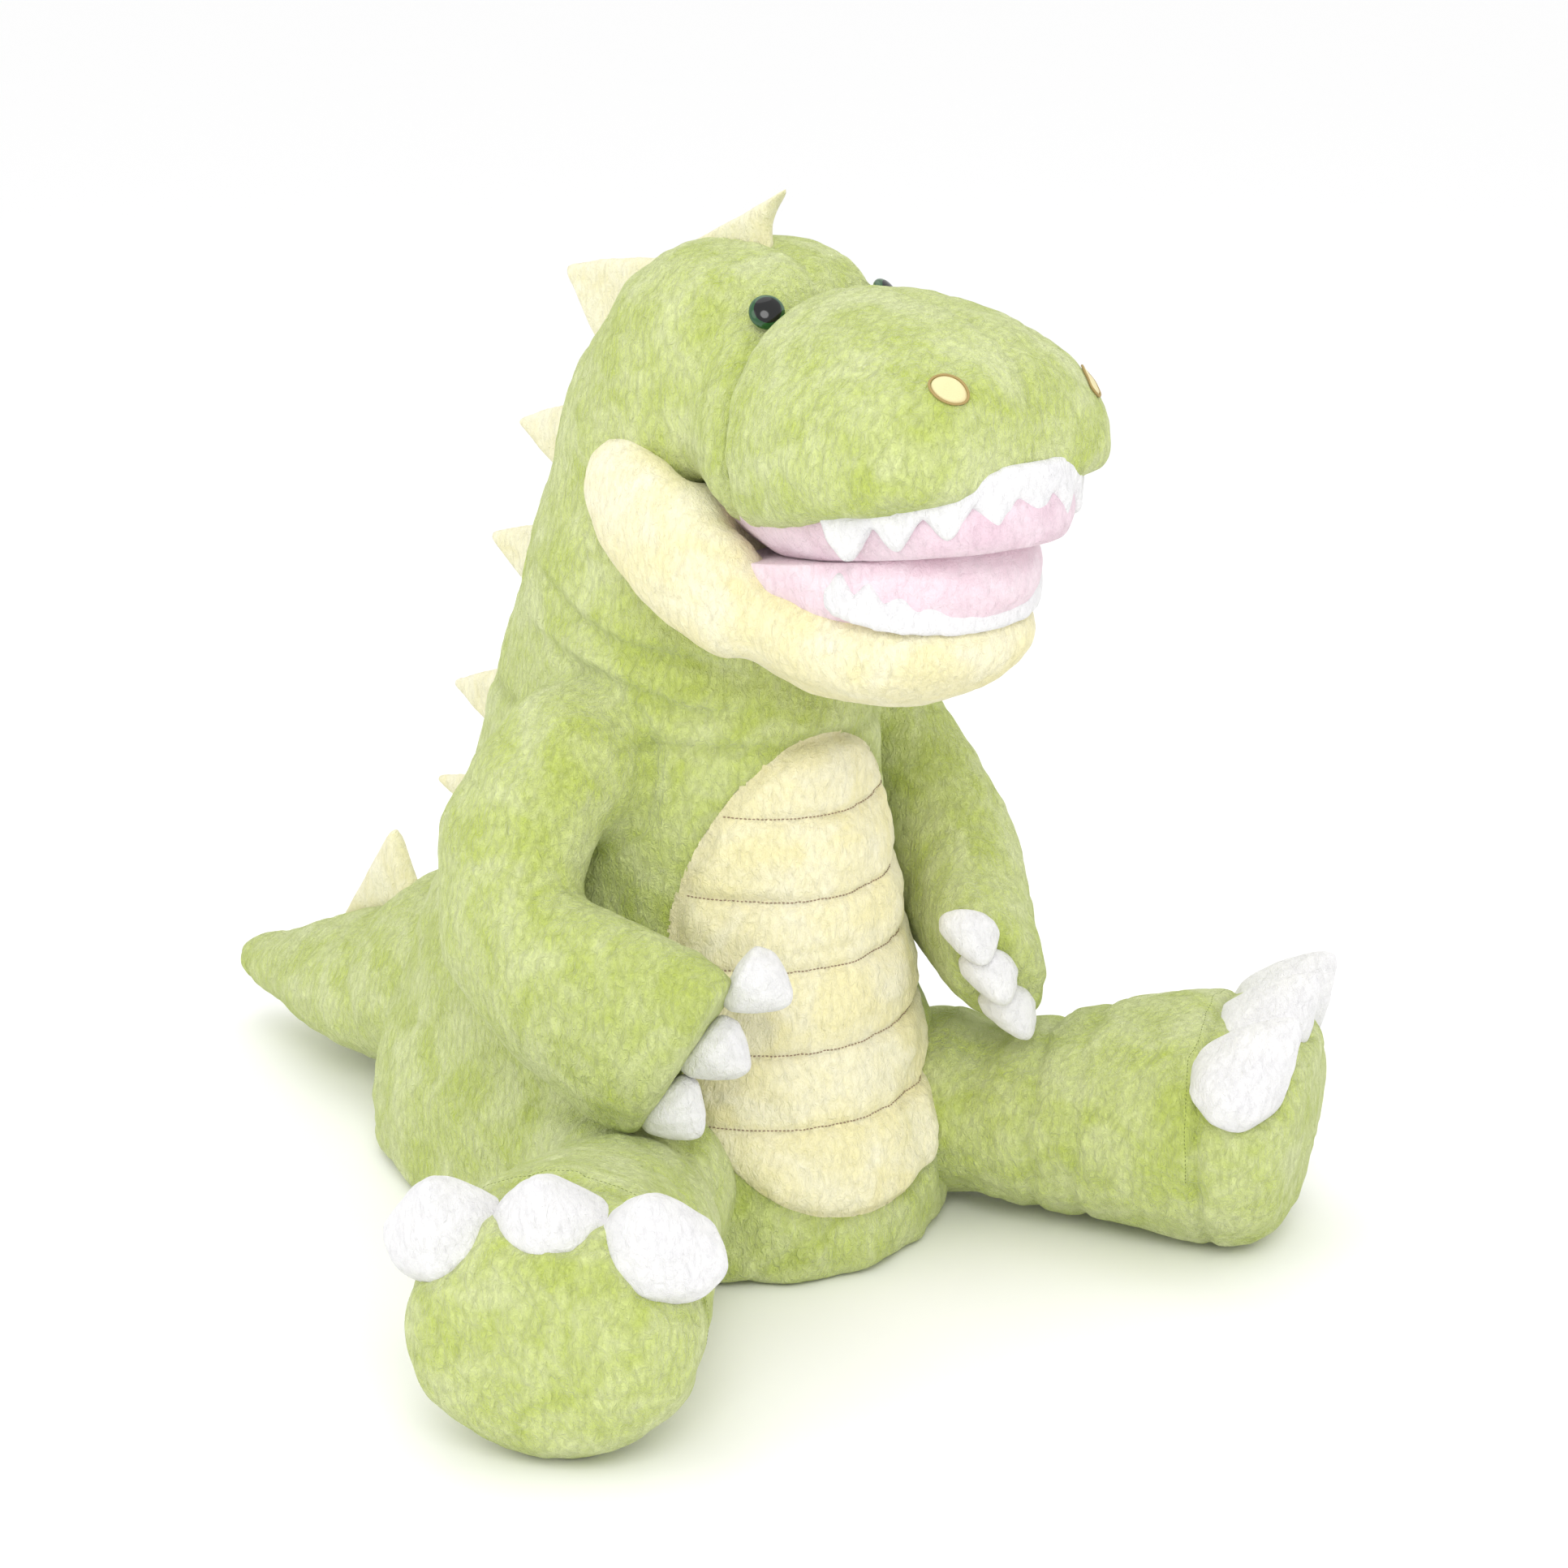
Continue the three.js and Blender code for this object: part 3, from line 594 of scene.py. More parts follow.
def sewn_limbs(p):
    """A raised ring and a groove round each shoulder, and ripples round each hip."""
    offset = np.zeros(len(p))
    for at in SHOULDERS.values():
        r = np.linalg.norm(p - np.array(at), axis=1)
        offset += 0.0035 * groove(r - SHOULDER_RING, 0.012) - 0.003 * groove(r - SHOULDER_SEAM, 0.006)
    for at in HIPS.values():
        r = np.linalg.norm(p - np.array(at), axis=1)
        ripple = np.sin((r - 0.08) / 0.0075 + 1.4 * noise(p, 0.05, 8))
        offset += 0.0016 * ripple * groove(r - HIP_RIPPLES, 0.03)
    return offset


def torso_shape(p):
    # The second values are painted shade in the quilting, the seams and the neck folds.
    quilt, quilt_painted_shade = quilting(p)
    seams, seams_painted_shade = body_seams(p)
    folds, folds_painted_shade = neck_folds(p)
    return lumps(p) + quilt + seams + folds + sewn_limbs(p), quilt_painted_shade + seams_painted_shade + folds_painted_shade


BODY_NODES = [
    "torso_skin", "belly_panel", "torso_stuffing", "head_skin", "head_stuffing", "muzzle_skin",
    "cheek_panel_right", "cheek_panel_left",
]

# Level ellipses that carry the neck from the chest up into the head: x, y, z, half width, half depth.
NECK_SLEEVE = [
    (0, 0.026, 0.36, 0.132, 0.195),
    (0, 0.022, 0.42, 0.134, 0.184),
    (0, 0.014, 0.48, 0.132, 0.160),
    (0, 0.006, 0.54, 0.128, 0.148),
    (0, 0.002, 0.60, 0.120, 0.134),
]


def limb_roots():
    """Forms in the body's sockets for the arms, legs and tail, and the neck's sleeve."""
    forms = [ball(at, 0.063) for at in SHOULDERS.values()]
    forms += [ball((0.93 * x, y + 0.02, z), 0.070) for x, y, z in HIPS.values()]
    x, y, z = TAIL_ROOT
    forms += [egg((x, y - 0.01, z + 0.012), (0.104, 0.108, 0.092)), loft(NECK_SLEEVE)]
    return forms


def settle(p):
    """The weight spreads the seat and the rump on the floor, and the nose is blunt."""
    p = p.copy()
    low = np.clip(1 - p[:, 2] / 0.15, 0, 1) ** 1.3
    middle = np.array([0.0, 0.045])
    out = p[:, :2] - middle
    ahead = np.clip(0.02 - p[:, 1] / 0.2, 0, 1)
    p[:, :2] = middle + out * (1 + (0.11 + 0.07 * ahead) * low)[:, None]
    rump = np.clip((p[:, 1] - 0.02) / 0.2, 0, 1) * np.clip(1 - p[:, 2] / 0.36, 0, 1)
    p[:, 0] *= 1 + 0.20 * rump
    p[:, 1] += 0.02 * rump
    nose = np.clip((-0.29 - p[:, 1]) / 0.12, 0, 1) * (p[:, 2] > 0.6)
    p[:, 1] += 0.020 * nose**1.2
    p[:, 2] -= 0.004 * nose * (p[:, 2] > 0.66)
    return p


def snap_seams(mesh):
    """Moves the points beside the belly's rim and the muzzle's crease onto them, so that the pieces
    part along clean lines."""
    co = coordinates(mesh)
    edge, nearest = egg_distance(co)
    near = (np.abs(edge) < SNAP) & (co[:, 1] < 0) & (co[:, 2] < CHEST_SEAM + 0.01)
    co[near, 0] = nearest[near, 0]
    co[near, 2] = nearest[near, 1]
    near = (np.abs(crease_distance(co)) < SNAP) & (co[:, 1] < 0)
    co[near] -= crease_distance(co)[near, None] * CREASE_NORMAL
    set_coordinates(mesh, co)


BELLY_TOP, MUZZLE_BASE = 0.45, 0.55


def is_belly(c):
    return (egg_distance(c)[0] < 0) & (c[:, 1] < 0) & (c[:, 2] < BELLY_TOP)


def is_muzzle(c):
    return (crease_distance(c) > 0) & (c[:, 2] > MUZZLE_BASE)


def is_head(c):
    return (c[:, 2] > CHEST_SEAM) & ~is_muzzle(c) & ~is_belly(c)


def is_torso(c):
    return ~is_head(c) & ~is_muzzle(c) & ~is_belly(c)


def make_body():
    """Torso, belly, muzzle and head are sewn panels of one form, so they are cut from one form."""
    whole = soft(
        "whole_body", BODY_NODES, voxel=0.0065, rounds=26, puff=0.0035,
        extra=limb_roots(), shape=torso_shape, bend=settle,
    )
    snap_seams(whole.data)
    torso = part_of(whole, "torso_plush", is_torso)
    finish_piece(torso, GREEN, "torso")
    belly = part_of(whole, "belly_quilt", is_belly)
    finish_piece(belly, CREAM, "torso")
    muzzle = part_of(whole, "muzzle_plush", is_muzzle)
    finish_piece(muzzle, GREEN, "head")
    head = part_of(whole, "head_plush", is_head)
    finish_piece(head, GREEN, None)
    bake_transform(head)
    bpy.data.objects.remove(whole)
    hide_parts("torso_skin", "torso_stuffing")
    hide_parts("belly_panel")
    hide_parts("muzzle_skin")
    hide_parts("head_skin", "head_stuffing")
    return belly, muzzle


belly, muzzle = make_body()

# ---------- lower jaw with the cheeks ----------


def jaw_shape(p):
    """A puckered lip seam along the jaw, with painted shade along it."""
    offset = 0.6 * lumps(p)
    pucker = noise(p * np.array([1, 1, 0.4]), 0.012, 12)
    lip = groove((p[:, 2] - (0.578 + (p[:, 1] + 0.28) * 0.12)), 0.006) * (p[:, 1] < -0.13)
    offset += 0.001 * pucker * lip
    return offset, 0.1 * lip


def pull_in(p):
    """The lower jaw is a little shorter than the muzzle."""
    p = p.copy()
    p[:, 1] += 0.16 * np.clip(-0.24 - p[:, 1], 0, 1)
    return p


PAD_ROUNDING = 0.002  # how softly each pad turns into the surface where they meet


def meeting(p):
    """The height at which the two pads of the mouth meet."""
    return 0.611 + 0.17 * (-0.245 - p[:, 1])


def under(p):
    """Presses the lower pad flat below the height where the pads meet."""
    p = pull_in(p)
    gap = (meeting(p) - p[:, 2]) / PAD_ROUNDING
    p[:, 2] = meeting(p) - PAD_ROUNDING * np.logaddexp(0, gap)
    return p


def over(p):
    """Presses the palate pad flat above the height where the pads meet."""
    p = p.copy()
    gap = (p[:, 2] - meeting(p)) / PAD_ROUNDING
    p[:, 2] = meeting(p) + PAD_ROUNDING * np.logaddexp(0, gap)
    return p


# Ellipsoids that lead each cheek down into the jaw: centre on the left side, and radii.
CHEEK_PATH = [
    ((0.110, -0.046, 0.632), (0.024, 0.040, 0.042)),
    ((0.114, -0.072, 0.618), (0.026, 0.047, 0.050)),
    ((0.114, -0.100, 0.602), (0.026, 0.050, 0.052)),
    ((0.110, -0.130, 0.586), (0.028, 0.046, 0.050)),
    ((0.104, -0.158, 0.572), (0.028, 0.044, 0.048)),
]


def make_jaw():
    cheeks = [egg((sign * x, y, z), radii) for sign in (-1, 1) for (x, y, z), radii in CHEEK_PATH]
    jaw = soft(
        "jaw_plush", ["jaw_skin", "jaw_stuffing"], voxel=0.005, rounds=20, puff=0.004,
        extra=cheeks, shape=jaw_shape, bend=pull_in,
    )
    finish_piece(jaw, CREAM, None)
    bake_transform(jaw)
    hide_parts("jaw_skin", "jaw_stuffing", "cheek_panel_right", "cheek_panel_left")


make_jaw()

# ---------- arms, legs and claws ----------


def leg_frame(side):
    """The hip's place and the level direction in which the leg lies."""
    a = math.radians(LEG_DEGREES[side])
    ahead = np.array([math.sin(a), -math.cos(a), 0.0])
    return np.array(HIPS[side]), ahead


# Each fold's place along the leg, its noise, its width and its share of the depth.
LEG_FOLDS = [(0.095, 2, 0.006, 1.0), (0.135, 7, 0.005, 0.7)]


def leg_shape(side):
    """Ripples at the thigh, two folds across the middle and the sunk seam of the sole, with painted shade in
    the folds and the seam.
    """
    hip, ahead = leg_frame(side)

    def shape(p):
        along = (p - hip) @ ahead
        offset = lumps(p)
        seam = groove(along - SOLE_SEAM, 0.0045)
        offset -= 0.0032 * seam
        top = np.clip((p[:, 2] - 0.05) / 0.1, 0, 1)
        ripple = np.sin(along / 0.0085 + 2.0 * noise(p, 0.06, 6))
        offset += 0.0018 * ripple * groove(along - 0.06, 0.045) * top
        fold = np.zeros(len(p))
        for place, seed, width, share in LEG_FOLDS:
            fold += groove(along - place + 0.006 * noise(p, 0.03, seed), width) * share
        offset -= 0.004 * fold
        return offset, 0.25 * seam + 0.12 * fold

    return shape


def leg_bend(side):
    """The foot swells forwards and sags to the floor. The left leg is a little fatter."""
    hip, ahead = leg_frame(side)
    forward = 0.020 if side == "right" else 0.008

    def bend(p):
        p = p.copy()
        along = (p - hip) @ ahead
        foot = np.clip((along - 0.16) / 0.08, 0, 1)
        low = np.clip(1 - p[:, 2] / 0.16, 0, 1)
        p += ahead * (forward * foot * low)[:, None]
        middle = hip + np.outer(along, ahead)
        wide = 1 + 0.05 * foot if side == "right" else np.full(len(p), 1.09)
        p[:, :2] = middle[:, :2] + (p - middle)[:, :2] * wide[:, None]
        p[:, 2] -= 0.012 * foot * low
        return p

    return bend


def arm_shape(side):
    """Small wrinkles round the shoulder."""
    at = np.array(SHOULDERS[side])

    def shape(p):
        offset = lumps(p)
        r = np.linalg.norm(p - at, axis=1)
        wrinkle = np.sin(r / 0.009 + 2.2 * noise(p, 0.05, 5))
        offset += 0.0012 * wrinkle * groove(r - 0.075, 0.03)
        return offset, np.zeros(len(p))

    return shape


def hand_turn(side):
    """Each paw droops, and its row of claws slants, as the loose stuffing lets it."""
    claws = [coordinates(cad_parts[f"arm_{side}_claw_{i}"].data) for i in (1, 2, 3)]
    paw = np.mean([co.mean(0) for co in claws], axis=0)
    outward = np.array([0.766, -0.643, 0]) * (-1 if side == "right" else 1)
    droop = 0.013 if side == "right" else 0.002

    def bend(p):
        near = np.clip((0.17 - np.linalg.norm(p - paw, axis=1)) / 0.12, 0, 1)
        near = near * near * (3 - 2 * near)
        shift = np.outer(near * (paw[2] - p[:, 2]) * 0.38, outward)
        shift[:, 2] -= droop * near
        return p + shift

    return bend


def toe_form(node, side):
    """A foot claw: a fat rounded triangle, wide at its root, narrow and longer at its tip."""
    co = coordinates(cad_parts[node].data)
    middle = co.mean(0)
    ahead = leg_frame(side)[1]
    axis = np.array([0, 0, 1.0]) * 0.75 + ahead * 0.66
    axis /= np.linalg.norm(axis)
    reach = (co - middle) @ axis
    low, high = reach.min(), reach.max()
    across = np.cross(axis, ahead)
    across /= np.linalg.norm(across)

    def bend(p):
        d = p - middle
        t = np.clip((d @ axis - low) / (high - low), 0, 1)
        along = np.outer(d @ axis, axis)
        off = d - along
        wide = np.outer(off @ across, across)
        thick = off - wide
        off = off + wide * (0.50 - 1.02 * t**1.4)[:, None] + thick * (0.06 - 0.35 * t**2)[:, None]
        return middle + along + off + np.outer(0.011 * t**2 - 0.003 * (1 - t), axis)

    return bend


def finger_form(node, side):
    """A hand claw: a short cone, wider where it is sewn on, that turns with its paw."""
    co = coordinates(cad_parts[node].data)
    middle = co.mean(0)
    axis = np.linalg.svd(co - middle)[2][0]
    if axis @ (middle - np.array(SHOULDERS[side])) < 0:
        axis = -axis
    reach = (co - middle) @ axis
    low, high = reach.min(), reach.max()

    def bend(p):
        d = p - middle
        t = np.clip((d @ axis - low) / (high - low), 0, 1)
        along = np.outer(d @ axis, axis)
        off = (d - along) * (1.12 - 0.32 * t**1.3)[:, None]
        return hand_turn(side)(middle + along + off - np.outer(0.016 * t + 0.002, axis))

    return bend


def make_arm(side):
    arm = soft(
        "arm_plush_" + side, [f"arm_{side}_skin", f"arm_{side}_stuffing"],
        voxel=0.0055, rounds=11, puff=0.003, shape=arm_shape(side), bend=hand_turn(side),
    )
    finish_piece(arm, GREEN, "arm_" + side)


def make_leg(side):
    """The leg and its sole are cut from one form, along a row of points on the seam."""
    both = soft(
        "leg_whole_" + side, [f"leg_{side}_skin", "sole_" + side, f"leg_{side}_stuffing"],
        voxel=0.006, rounds=18, puff=0.0035, shape=leg_shape(side), bend=leg_bend(side),
    )
    hip, ahead = leg_frame(side)
    co = coordinates(both.data)
    gap = (co - hip) @ ahead - SOLE_SEAM
    near = np.abs(gap) < SOLE_SNAP
    co[near] -= gap[near, None] * ahead
    set_coordinates(both.data, co)

    def beyond(c):
        return (c - hip) @ ahead > SOLE_SEAM

    leg = part_of(both, "leg_plush_" + side, lambda c: ~beyond(c))
    sole = part_of(both, "sole_plush_" + side, beyond)
    finish_piece(leg, GREEN, "leg_" + side)
    finish_piece(sole, GREEN, "leg_" + side)
    bpy.data.objects.remove(both)
    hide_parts(f"leg_{side}_skin", f"leg_{side}_stuffing")
    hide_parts("sole_" + side)


def make_claw(limb, side, i):
    node = f"{limb}_{side}_claw_{i}"
    claw = soft(
        node.replace("claw", "plush_claw"), [node], voxel=0.0035 if limb == "leg" else 0.0028,
        rounds=6, puff=0.0035, shape=uneven(0.0006, 0.014, 3, squash=(0.5, 0.5, 2)),
        bend=(toe_form if limb == "leg" else finger_form)(node, side),
    )
    finish_piece(claw, WHITE, f"{limb}_{side}")


for side in ("right", "left"):
    make_arm(side)
    make_leg(side)
    for i in (1, 2, 3):
        for limb in ("arm", "leg"):
            make_claw(limb, side, i)

# ---------- tail and spikes ----------


def flatten(p):
    """The tail lies on the floor under its own weight."""
    p = p.copy()
    share = np.clip((p[:, 1] - 0.34) / 0.16, 0, 1)
    p[:, 2] *= 0.90 + 0.10 * share
    p[:, 0] = -0.04 + (p[:, 0] + 0.04) * (1.30 - 0.22 * share)
    return p


def make_tail():
    tail = soft(
        "tail_plush", ["tail_skin", "tail_stuffing"], voxel=0.0055, rounds=22, puff=0.0035,
        shape=lambda p: (lumps(p), np.zeros(len(p))), bend=flatten,
    )
    finish_piece(tail, GREEN, "tail")


make_tail()


def curl(p):
    """The crest leans back along the head and its tip turns up and forwards."""
    p = p.copy()
    low, high = p[:, 2].min(), p[:, 2].max()
    t = np.clip((p[:, 2] - low) / (high - low), 0, 1)
    front = p[:, 1].min()
    p[:, 1] = front + (p[:, 1] - front) * (1.25 - 0.68 * t)
    p[:, 1] += 0.012 * np.sin(math.pi * t) - 0.016 * t**2
    p[:, 2] -= 0.012 * (1 - t)
    return p


def stand_out(p):
    """A fuller back spike: it reaches further out from the back than its flat pattern."""
    middle = p.mean(0)
    out = np.array([0, 1.0, 0.25])
    out /= np.linalg.norm(out)
    reach = (p - middle) @ out
    t = (reach - reach.min()) / (reach.max() - reach.min())
    q = p + np.outer(0.014 * t, out)
    q[:, 2] += (p[:, 2] - middle[2]) * 0.25
    return q


def grow(p):
    """The tail spike is a tall, full plate that reaches down into the tail seam."""
    low, high = p[:, 2].min(), p[:, 2].max()
    middle = p.mean(0)
    t = (p[:, 2] - low) / (high - low)
    q = middle + (p - middle) * np.array([1.4, 1.9, 1.0])
    q[:, 2] = low - 0.022 + (high - low + 0.030) * t
    return q


# Each spike's node, body and the move that gives it its photographed form.
SPIKES = [
    ("crest_spike", "head", curl),
    ("head_spike_upper", "head", None),
    ("head_spike_lower", "head", stand_out),
    ("back_spike_1", "torso", stand_out),
    ("back_spike_2", "torso", stand_out),
    ("back_spike_3", "torso", stand_out),
    ("tail_spike", "tail", grow),
]


def make_spike(node, body, bend):
    pad = soft(
        node + "_pad", [node], voxel=0.0026, rounds=8, puff=0.0012,
        shape=uneven(0.0009, 0.016, 2), bend=bend,
    )
    finish_piece(pad, SPIKE, body)


for spike in SPIKES:
    make_spike(*spike)

# ---------- mouth ----------

UPPER_LIP = 0.660
TEETH_END = -0.284  # behind this the strip of upper teeth is tucked into the muzzle
UPPER_PAD = ((0, -0.228, 0.655), (0.110, 0.166, 0.075))
LOWER_PAD = ((0, -0.215, 0.600), (0.106, 0.166, 0.066))


def low_teeth(p):
    """The lower teeth stand up from the lip as small rounded bumps."""
    p = p.copy()
    rest = 0.5 * (p[:, 2].min() + p[:, 2].max())
    p[:, 2] += 0.004 + 0.6 * np.clip(p[:, 2] - rest, -0.01, 1)
    return pull_in(p)


def lip_teeth(p):
    """The upper teeth hang from the lip; the strip's ends are tucked up into the muzzle."""
    p = p.copy()
    p[:, 2] = UPPER_LIP + (p[:, 2] - UPPER_LIP) * 1.25 + 0.014
    p[:, 1] += 0.005
    p[:, 2] += 0.05 * np.clip((p[:, 1] - TEETH_END) / 0.02, 0, 1)
    return p


def pad_shape(p):
    """Coarse and fine lumps of a soft pad."""
    return 0.0012 * noise(p, 0.03, 2) + 0.0005 * noise(p, 0.01, 4), np.zeros(len(p))


def make_mouth():
    """Two pads that fill the mouth and meet along one surface, and the jaw's thin lining."""
    palate = soft(
        "palate_pad", [], voxel=0.004, rounds=6, puff=0.0,
        extra=[egg(*UPPER_PAD)], shape=pad_shape, bend=over,
    )
    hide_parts("palate_lining")
    finish_piece(palate, PINK, "head")
    tongue = soft(
        "tongue_pad", ["tongue_lining"], voxel=0.004, rounds=6, puff=0.0,
        extra=[egg(*LOWER_PAD)], shape=pad_shape, bend=under,
    )
    finish_piece(tongue, PALE_PINK, "jaw")
    lining = soft(
        "mouth_lining_cloth", ["mouth_lining"], voxel=0.0022, rounds=3, puff=0.0045,
        shape=uneven(0.0008, 0.02, 2), bend=pull_in,
    )
    finish_piece(lining, PALE_PINK, "jaw")


def make_teeth(node, body, bend):
    teeth = soft(
        node + "_felt", [node], voxel=0.0022, rounds=9, puff=0.0034,
        shape=uneven(0.0006, 0.008, 2), bend=bend,
    )
    finish_piece(teeth, WHITE, body)


make_mouth()
make_teeth("upper_teeth", "head", lip_teeth)
make_teeth("lower_teeth", "jaw", low_teeth)

# ---------- eyes and nostrils ----------


def disc(name, at, direction, profile, sides=48):
    """A turned form: radius and height pairs, about a direction through a point."""
    up = Vector(direction).normalized()
    turn = up.to_track_quat("Z", "Y").to_matrix()
    verts, faces = [], []
    for r, h in profile:
        for i in range(sides):
            a = 2 * math.pi * i / sides
            verts.append(tuple(Vector(at) + turn @ Vector((r * math.cos(a), r * math.sin(a), h))))
    for k in range(len(profile) - 1):
        for i in range(sides):
            j = (i + 1) % sides
            faces.append((k * sides + i, k * sides + j, (k + 1) * sides + j, (k + 1) * sides + i))
    faces.append(tuple(range(sides))[::-1])
    faces.append(tuple((len(profile) - 1) * sides + i for i in range(sides)))
    obj = new_object(name, verts, faces)
    obj.data.shade_smooth()
    return obj


EYE_AT = (0.060, -0.158, 0.781)
EYE_AIM = (0.42, -0.72, 0.55)
EYE_RADIUS, EYE_RISE, EYE_SUNK = 0.0138, 0.0070, 0.0022
EYE_RING = (0.0104, 0.0140)  # the green rim shows between these radii
EYE_PROFILE = [
    (EYE_RADIUS * math.cos(t), EYE_RISE * math.sin(t) - EYE_SUNK) for t in np.linspace(-0.3, 1.5, 26)
]


def make_eye(side, sign):
    at = (sign * EYE_AT[0], EYE_AT[1], EYE_AT[2])
    aim = (sign * EYE_AIM[0], EYE_AIM[1], EYE_AIM[2])
    eye = disc("eye_dome_" + side, at, aim, EYE_PROFILE)
    eye.data.materials.append(EYE_BLACK)
    eye.data.materials.append(EYE_GREEN)
    centre, axis = Vector(at), Vector(aim).normalized()
    for face in eye.data.polygons:
        away = (face.center - centre) - axis * (face.center - centre).dot(axis)
        face.material_index = 1 if EYE_RING[0] < away.length < EYE_RING[1] else 0
    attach(eye, "head")
    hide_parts("eye_" + side, "eye_washer_" + side)


muzzle_tree = tree_of(muzzle)


def on_muzzle(at, aim, lift):
    """The point of the muzzle's surface below a place, raised by lift."""
    hit = muzzle_tree.ray_cast(Vector(at) + aim * 0.06, -aim, 0.2)
    if hit[0] is None:
        return Vector(at)
    return hit[0] + aim * lift


NOSTRIL_AT = {"right": (-0.070, -0.362, 0.764), "left": (0.104, -0.362, 0.764)}
NOSTRIL_HALF = (0.0132, 0.0106)
RING_HALF = (0.0134, 0.0108)
RING_THREAD = 0.0010
OVAL_LIFT, OVAL_EDGE, RING_LIFT = 0.0022, -0.001, 0.0016


def nostril_oval(side, at, aim, across, upward, rings=7, sides=40):
    """The raised satin oval, which follows the muzzle and turns down at its edge."""
    verts, faces = [], []
    for r in range(rings + 1):
        for i in range(sides):
            a = 2 * math.pi * i / sides
            flat = at + across * (NOSTRIL_HALF[0] * r / rings * math.cos(a))
            flat += upward * (NOSTRIL_HALF[1] * r / rings * math.sin(a))
            verts.append(on_muzzle(flat, aim, OVAL_LIFT if r < rings else OVAL_EDGE))
    for r in range(rings):
        for i in range(sides):
            j = (i + 1) % sides
            faces.append((r * sides + i, (r + 1) * sides + i, (r + 1) * sides + j, r * sides + j))
    oval = new_object("nostril_oval_" + side, verts, faces)
    oval.data.shade_smooth()
    finish_piece(oval, NOSTRIL_FILL, "head")
    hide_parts("nostril_" + side)


def nostril_ring(side, at, aim, across, upward, sides=40, tube=8):
    """The darker corded edge of a nostril."""
    verts, faces = [], []
    for i in range(sides):
        a = 2 * math.pi * i / sides
        out = across * math.cos(a) + upward * math.sin(a)
        flat = at + across * (RING_HALF[0] * math.cos(a)) + upward * (RING_HALF[1] * math.sin(a))
        middle = on_muzzle(flat, aim, RING_LIFT)
        for k in range(tube):
            b = 2 * math.pi * k / tube
            verts.append(middle + (out * math.cos(b) + aim * math.sin(b)) * RING_THREAD)
    for i in range(sides):
        for k in range(tube):
            j, m = (i + 1) % sides, (k + 1) % tube
            faces.append((i * tube + k, j * tube + k, j * tube + m, i * tube + m))
    ring = new_object("nostril_ring_" + side, verts, faces)
    ring.data.shade_smooth()
    finish_piece(ring, NOSTRIL_RING, "head")


def make_nostril(side, sign):
    aim = Vector((sign * 0.62, -0.25, 0.75)).normalized()
    across = Vector((0, -1, 0)) - aim * Vector((0, -1, 0)).dot(aim)
    across.normalize()
    upward = aim.cross(across)
    at = Vector(NOSTRIL_AT[side])
    nostril_oval(side, at, aim, across, upward)
    nostril_ring(side, at, aim, across, upward)


for side, sign in (("right", -1), ("left", 1)):
    make_eye(side, sign)
for side, sign in (("right", -1), ("left", 1)):
    make_nostril(side, sign)

# ---------- stitches ----------

STITCH_LENGTH, STITCH_PITCH = 0.0022, 0.0033

# Places along a stitch and the share of its thickness there.
THREAD_SECTIONS = [(0.0, 0.4), (0.25, 1), (0.75, 1), (1.0, 0.4)]


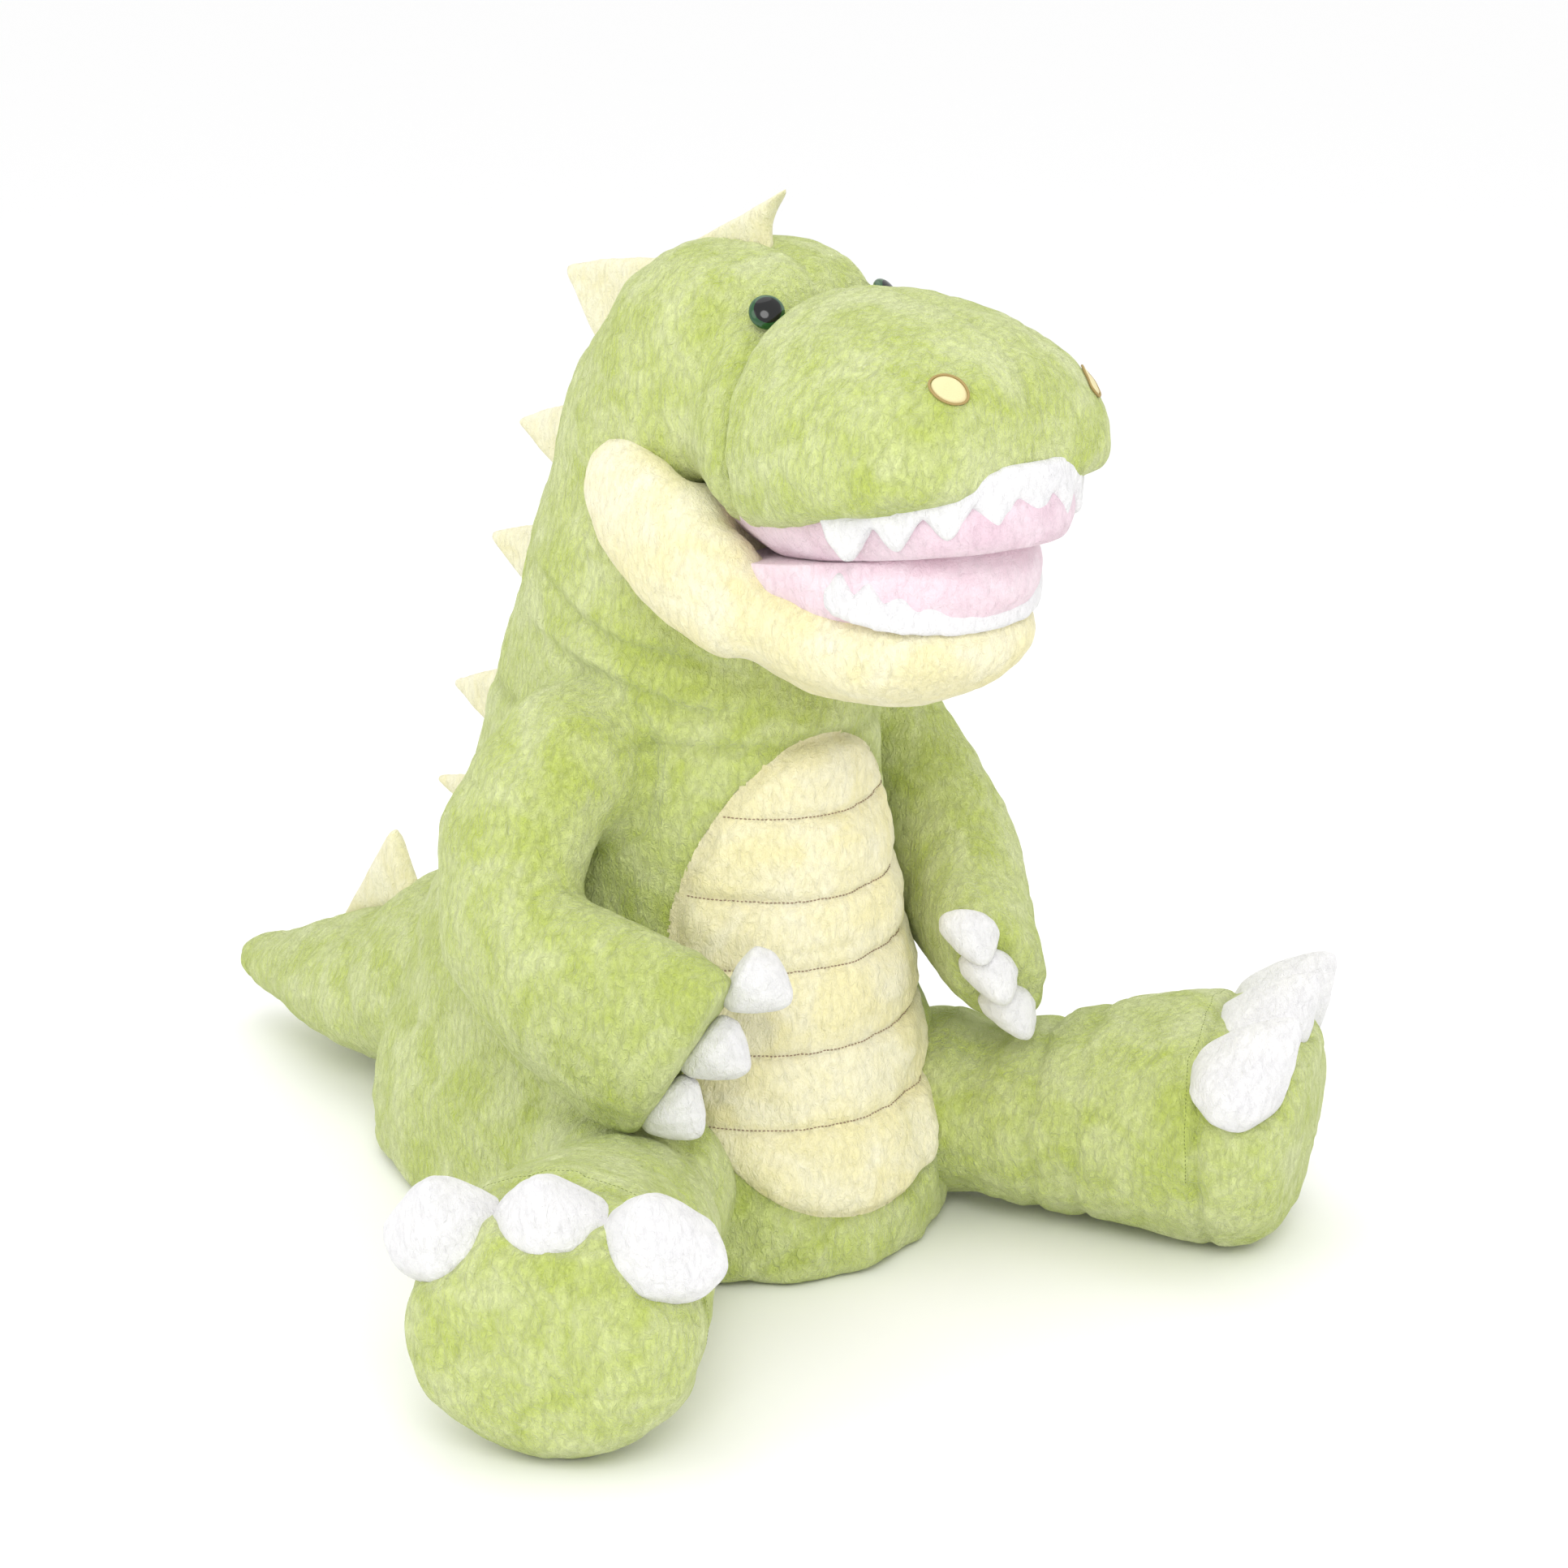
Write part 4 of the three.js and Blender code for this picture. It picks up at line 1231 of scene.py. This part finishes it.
def stitches(name, path, body, tree, thick=0.0005, lift=0.0006, thread=THREAD):
    """Short thread runs that lie on the tree's surface along a path of points, as one piece."""
    verts, faces = [], []
    points = [Vector(p) for p in path]
    spans = [(b - a).length for a, b in zip(points, points[1:])]
    total, start = sum(spans), 0.0

    def at(distance):
        for a, b, span in zip(points, points[1:], spans):
            if distance <= span:
                return a.lerp(b, distance / span)
            distance -= span
        return points[-1]

    while start + STITCH_LENGTH < total:
        a, b = at(start), at(start + STITCH_LENGTH)
        hits = [tree.find_nearest(p) for p in (a, b)]
        ends = [h[0] + h[1] * lift for h in hits]
        out = hits[0][1]
        along = (ends[1] - ends[0]).normalized()
        side = along.cross(out).normalized()
        base = len(verts)
        for share, radius in THREAD_SECTIONS:
            middle = ends[0].lerp(ends[1], share)
            for k in range(6):
                turn = 2 * math.pi * k / 6
                verts.append(middle + (side * math.cos(turn) + out * math.sin(turn)) * thick * radius)
        for r in range(3):
            for k in range(6):
                m = (k + 1) % 6
                faces.append((base + r * 6 + k, base + r * 6 + m, base + r * 6 + 6 + m, base + r * 6 + 6 + k))
        faces.append(tuple(base + k for k in range(6))[::-1])
        faces.append(tuple(base + 18 + k for k in range(6)))
        start += STITCH_PITCH
    obj = new_object(name, verts, faces)
    obj.data.shade_smooth()
    finish_piece(obj, thread, body)


def quilt_path(tree, z):
    """Points of the belly's surface along one sewn line, short of the panel's rim."""
    path = []
    for x in np.linspace(-0.15, 0.15, 61):
        height = z + QUILT_BEND * (x / QUILT_HALF_WIDTH) ** 2
        if egg_distance(np.array([[x, -0.2, height]]))[0][0] > -0.003:
            continue
        hit = tree.ray_cast(Vector((x, -0.6, height)), Vector((0, 1, 0)))
        if hit[0] is not None:
            path.append(hit[0])
    return path


def sew_quilting():
    tree = tree_of(belly)
    for i, z in enumerate(QUILT_LINES):
        stitches(f"quilt_stitches_{i + 1}", quilt_path(tree, z), "torso", tree)


AROUND_SOLE = 0.16  # far enough out to be outside the foot


def sew_sole(side):
    """Thread along the top of the sole's seam, half sunk in the pile."""
    hip, ahead = leg_frame(side)
    sideways = np.array([ahead[1], -ahead[0], 0.0])
    upright = np.array([0, 0, 1])
    centre = hip + ahead * (SOLE_SEAM - 0.004)
    tree = tree_of(bpy.data.objects["leg_plush_" + side])
    path = []
    for a in np.linspace(-0.1, math.pi + 0.1, 60):
        outside = centre + AROUND_SOLE * (sideways * math.cos(a) + upright * math.sin(a))
        path.append(tree.find_nearest(Vector(outside))[0])
    stitches("sole_stitches_" + side, path, "leg_" + side, tree, thick=0.00035, lift=-0.0001, thread=SEAM)


sew_quilting()
for side in ("right", "left"):
    sew_sole(side)

# ---------- floor ----------

FLOOR_HALF = 60
corners = [(x * FLOOR_HALF, y * FLOOR_HALF, 0) for x, y in ((-1, -1), (1, -1), (1, 1), (-1, 1))]
floor = new_object("floor", corners, [(0, 1, 2, 3)])
floor.data.materials.append(plain("paper", (0.985, 0.985, 0.985), 0.8, grain=0.3, variation=0.002))
